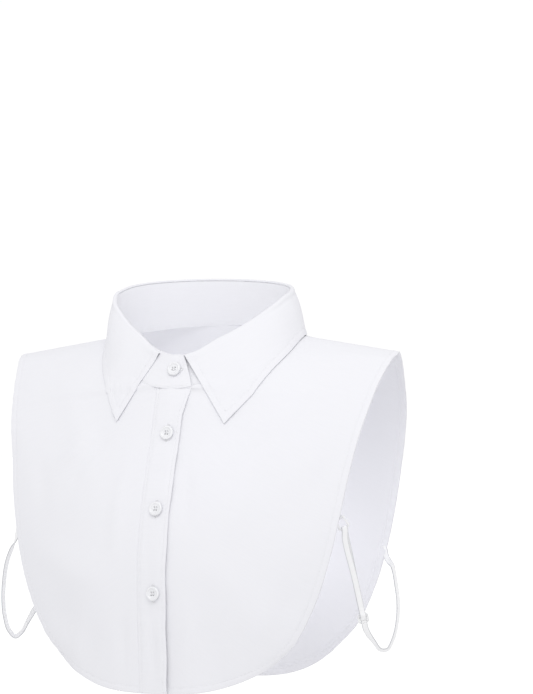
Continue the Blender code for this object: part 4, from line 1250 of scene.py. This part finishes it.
def makeLoop(plan, axes):
    # the free stretch: it leaves the slider flat, turns on edge as it bends, and lies flat where it is sewn
    side = plan["side"]
    sign = 1.0 if side == "left" else -1.0
    edge, down, out, inward = edgeFrame(not plan["behind"], plan["heights"][1], sign)
    sewn = edge + inward * 0.25     # its end is caught in the hem
    leave, behind = strap["through"][-1]
    foot = inFrame(axes, leave, 0.0, behind)
    line = route([foot, foot + axes.down * 3.0 + axes.thick * 0.5, *plan["loop"],
                  sewn + out * 0.7 + down * 2.2, sewn - out * 0.9 - down * 1.0,
                  sewn - out * 3.6 - down * 4.0], 1.2)
    share = (runLength(line) / runLength(line)[-1])[:, None]
    tangents = unit(np.gradient(line, axis=0))
    ahead, turned = math.radians(cameraPlan["azimuth"]), math.radians(strap["turn"])
    nearly = np.array([math.sin(ahead), -math.cos(ahead), 0.0])
    onEdge = nearly * math.cos(turned) + unit(np.cross(nearly, tangents)) * math.sin(turned)
    first = toward(axes.wide, onEdge[0])
    last = toward(unit(np.cross(inward, tangents[-1])), onEdge[-1])
    start, end = smooth(share / 0.2), smooth((share - 0.8) / 0.17)
    wides = first * (1 - start) + onEdge * start
    wides = unit(wides) * (1 - end) + last * end
    loop = sweep("strap_loop_%s_band" % side, line, wides, (strap["wide"] / 2, strap["thick"] / 2),
                 elastic, sides=16, flatness=strap["flat"])
    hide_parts("strap_loop_" + side)
    tack = np.array([sewn - out * 3.0 + down * at for at in np.linspace(-4.6, 0.6, 7)])
    stitchRow("strap_tack_%s_stitches" % side, tack, trees[plan["far"]], -inward, "tack")
    print("strap %s: loop %.0f mm" % (side, runLength(line)[-1]))


for plan in straps:
    sign = 1.0 if plan["side"] == "left" else -1.0
    edge, down, out, inward = edgeFrame(plan["behind"], plan["heights"][0], sign)
    hang = unit(out * strap["hang"][0] + down * strap["hang"][1] + inward * strap["hang"][2])
    wide = unit(np.cross(inward, hang))
    ringPlace = edge + out * strap["ringOut"] + inward * strap["ringIn"]
    ringAxes = Axes(ringPlace, hang, wide, unit(np.cross(hang, wide)))
    bar = inFrame(ringAxes, strap["bar"], 0, 0)
    place = np.array(plan["slider"])
    along = unit(place - inFrame(ringAxes, strap["bar"] + 1.15, 0, 0))
    thick = unit(ringAxes.thick - along * (ringAxes.thick @ along))
    axes = Axes(place, along, unit(np.cross(thick, along)), thick)
    makeTab(plan["side"], ringAxes, inward, trees[plan["near"]])
    makeRing(plan["side"], ringAxes)
    slider = makeSlider(plan["side"], axes)
    doubled = makeDoubled(plan["side"], axes, ringAxes, bar)
    makeLoop(plan, axes)
print("straps made")

# metres; the room gives the light that falls on the collar and is shown a little over plain white
stage = {"floor": -0.95, "reach": 40.0, "light": 0.855, "shown": 1.02, "near": 3.0, "far": 6.0, "glow": 0.3}
softboxes = [
    {"name": "key", "power": 4.3, "size": (0.7, 0.7), "place": (0.34, -0.91, 0.83),
     "aim": (0.0, 0.0, -0.08)},
    # a small one inside, as light comes through thin cloth
    {"name": "inside", "power": 0.064, "size": (0.2, 0.09), "place": (0.0, -0.028, -0.165),
     "aim": (0.0, 0.06, -0.14)},
]


def makeStage(plan):
    mesh = bpy.data.meshes.new("floor")
    shape = bmesh.new()
    bmesh.ops.create_circle(shape, cap_ends=True, segments=96, radius=plan["reach"],
                            matrix=Matrix.Translation((0, 0, plan["floor"])))
    shape.to_mesh(mesh)
    shape.free()
    # painted board, dead matt and evenly white
    made, tree, shader = newMaterial("white studio floor", Roughness=0.9, Specular_IOR_Level=0.0)
    place = addNode(tree, "ShaderNodeTexCoord")
    patch = addNode(tree, "ShaderNodeTexNoise", {"Vector": place.outputs["Object"],
                    "Scale": patchScale(1700.0)})
    colour = addNode(tree, "ShaderNodeMix", {"Factor": patch.outputs["Fac"],
                     "A": linear("#fdfdfd"), "B": linear("#ffffff")}, data_type="RGBA")
    # far off the floor is lit up to the white of the room
    reach = addNode(tree, "ShaderNodeVectorMath", {0: place.outputs["Object"]}, operation="LENGTH")
    glow = addNode(tree, "ShaderNodeMapRange", {"Value": reach.outputs["Value"], "From Min": plan["near"],
                   "From Max": plan["far"], "To Min": 0.0, "To Max": plan["glow"]})
    linkUp(tree, shader, {"Base Color": colour.outputs["Result"], "Emission Color": linear("#ffffff"),
                          "Emission Strength": glow.outputs["Result"]})
    mesh.materials.append(made)
    newObject("floor", mesh)


def makeLight(plan, boxes):
    # a white room that lights evenly and shows as plain white, and the soft lights
    world = bpy.data.worlds.new("white studio")
    world.use_nodes = True
    tree = world.node_tree
    shown = addNode(tree, "ShaderNodeLightPath")
    amount = addNode(tree, "ShaderNodeMapRange", {"Value": shown.outputs["Is Camera Ray"],
                     "To Min": plan["light"], "To Max": plan["shown"]})
    linkUp(tree, tree.nodes["Background"], {"Color": linear("#ffffff"),
                                            "Strength": amount.outputs["Result"]})
    bpy.context.scene.world = world
    bpy.context.scene.view_settings.view_transform = "Standard"
    for box in boxes:
        data = bpy.data.lights.new(box["name"], "AREA")
        data.shape, data.energy = "RECTANGLE", box["power"]
        data.size, data.size_y = box["size"]
        softbox = newObject(box["name"], data)
        softbox.location = box["place"]
        softbox.rotation_mode = "QUATERNION"
        sight = Vector(box["aim"]) - Vector(box["place"])
        softbox.rotation_quaternion = sight.to_track_quat("-Z", "Y")
        softbox.visible_camera = False


makeStage(stage)
makeLight(stage, softboxes)
print("stage made")

bpy.context.view_layer.update()
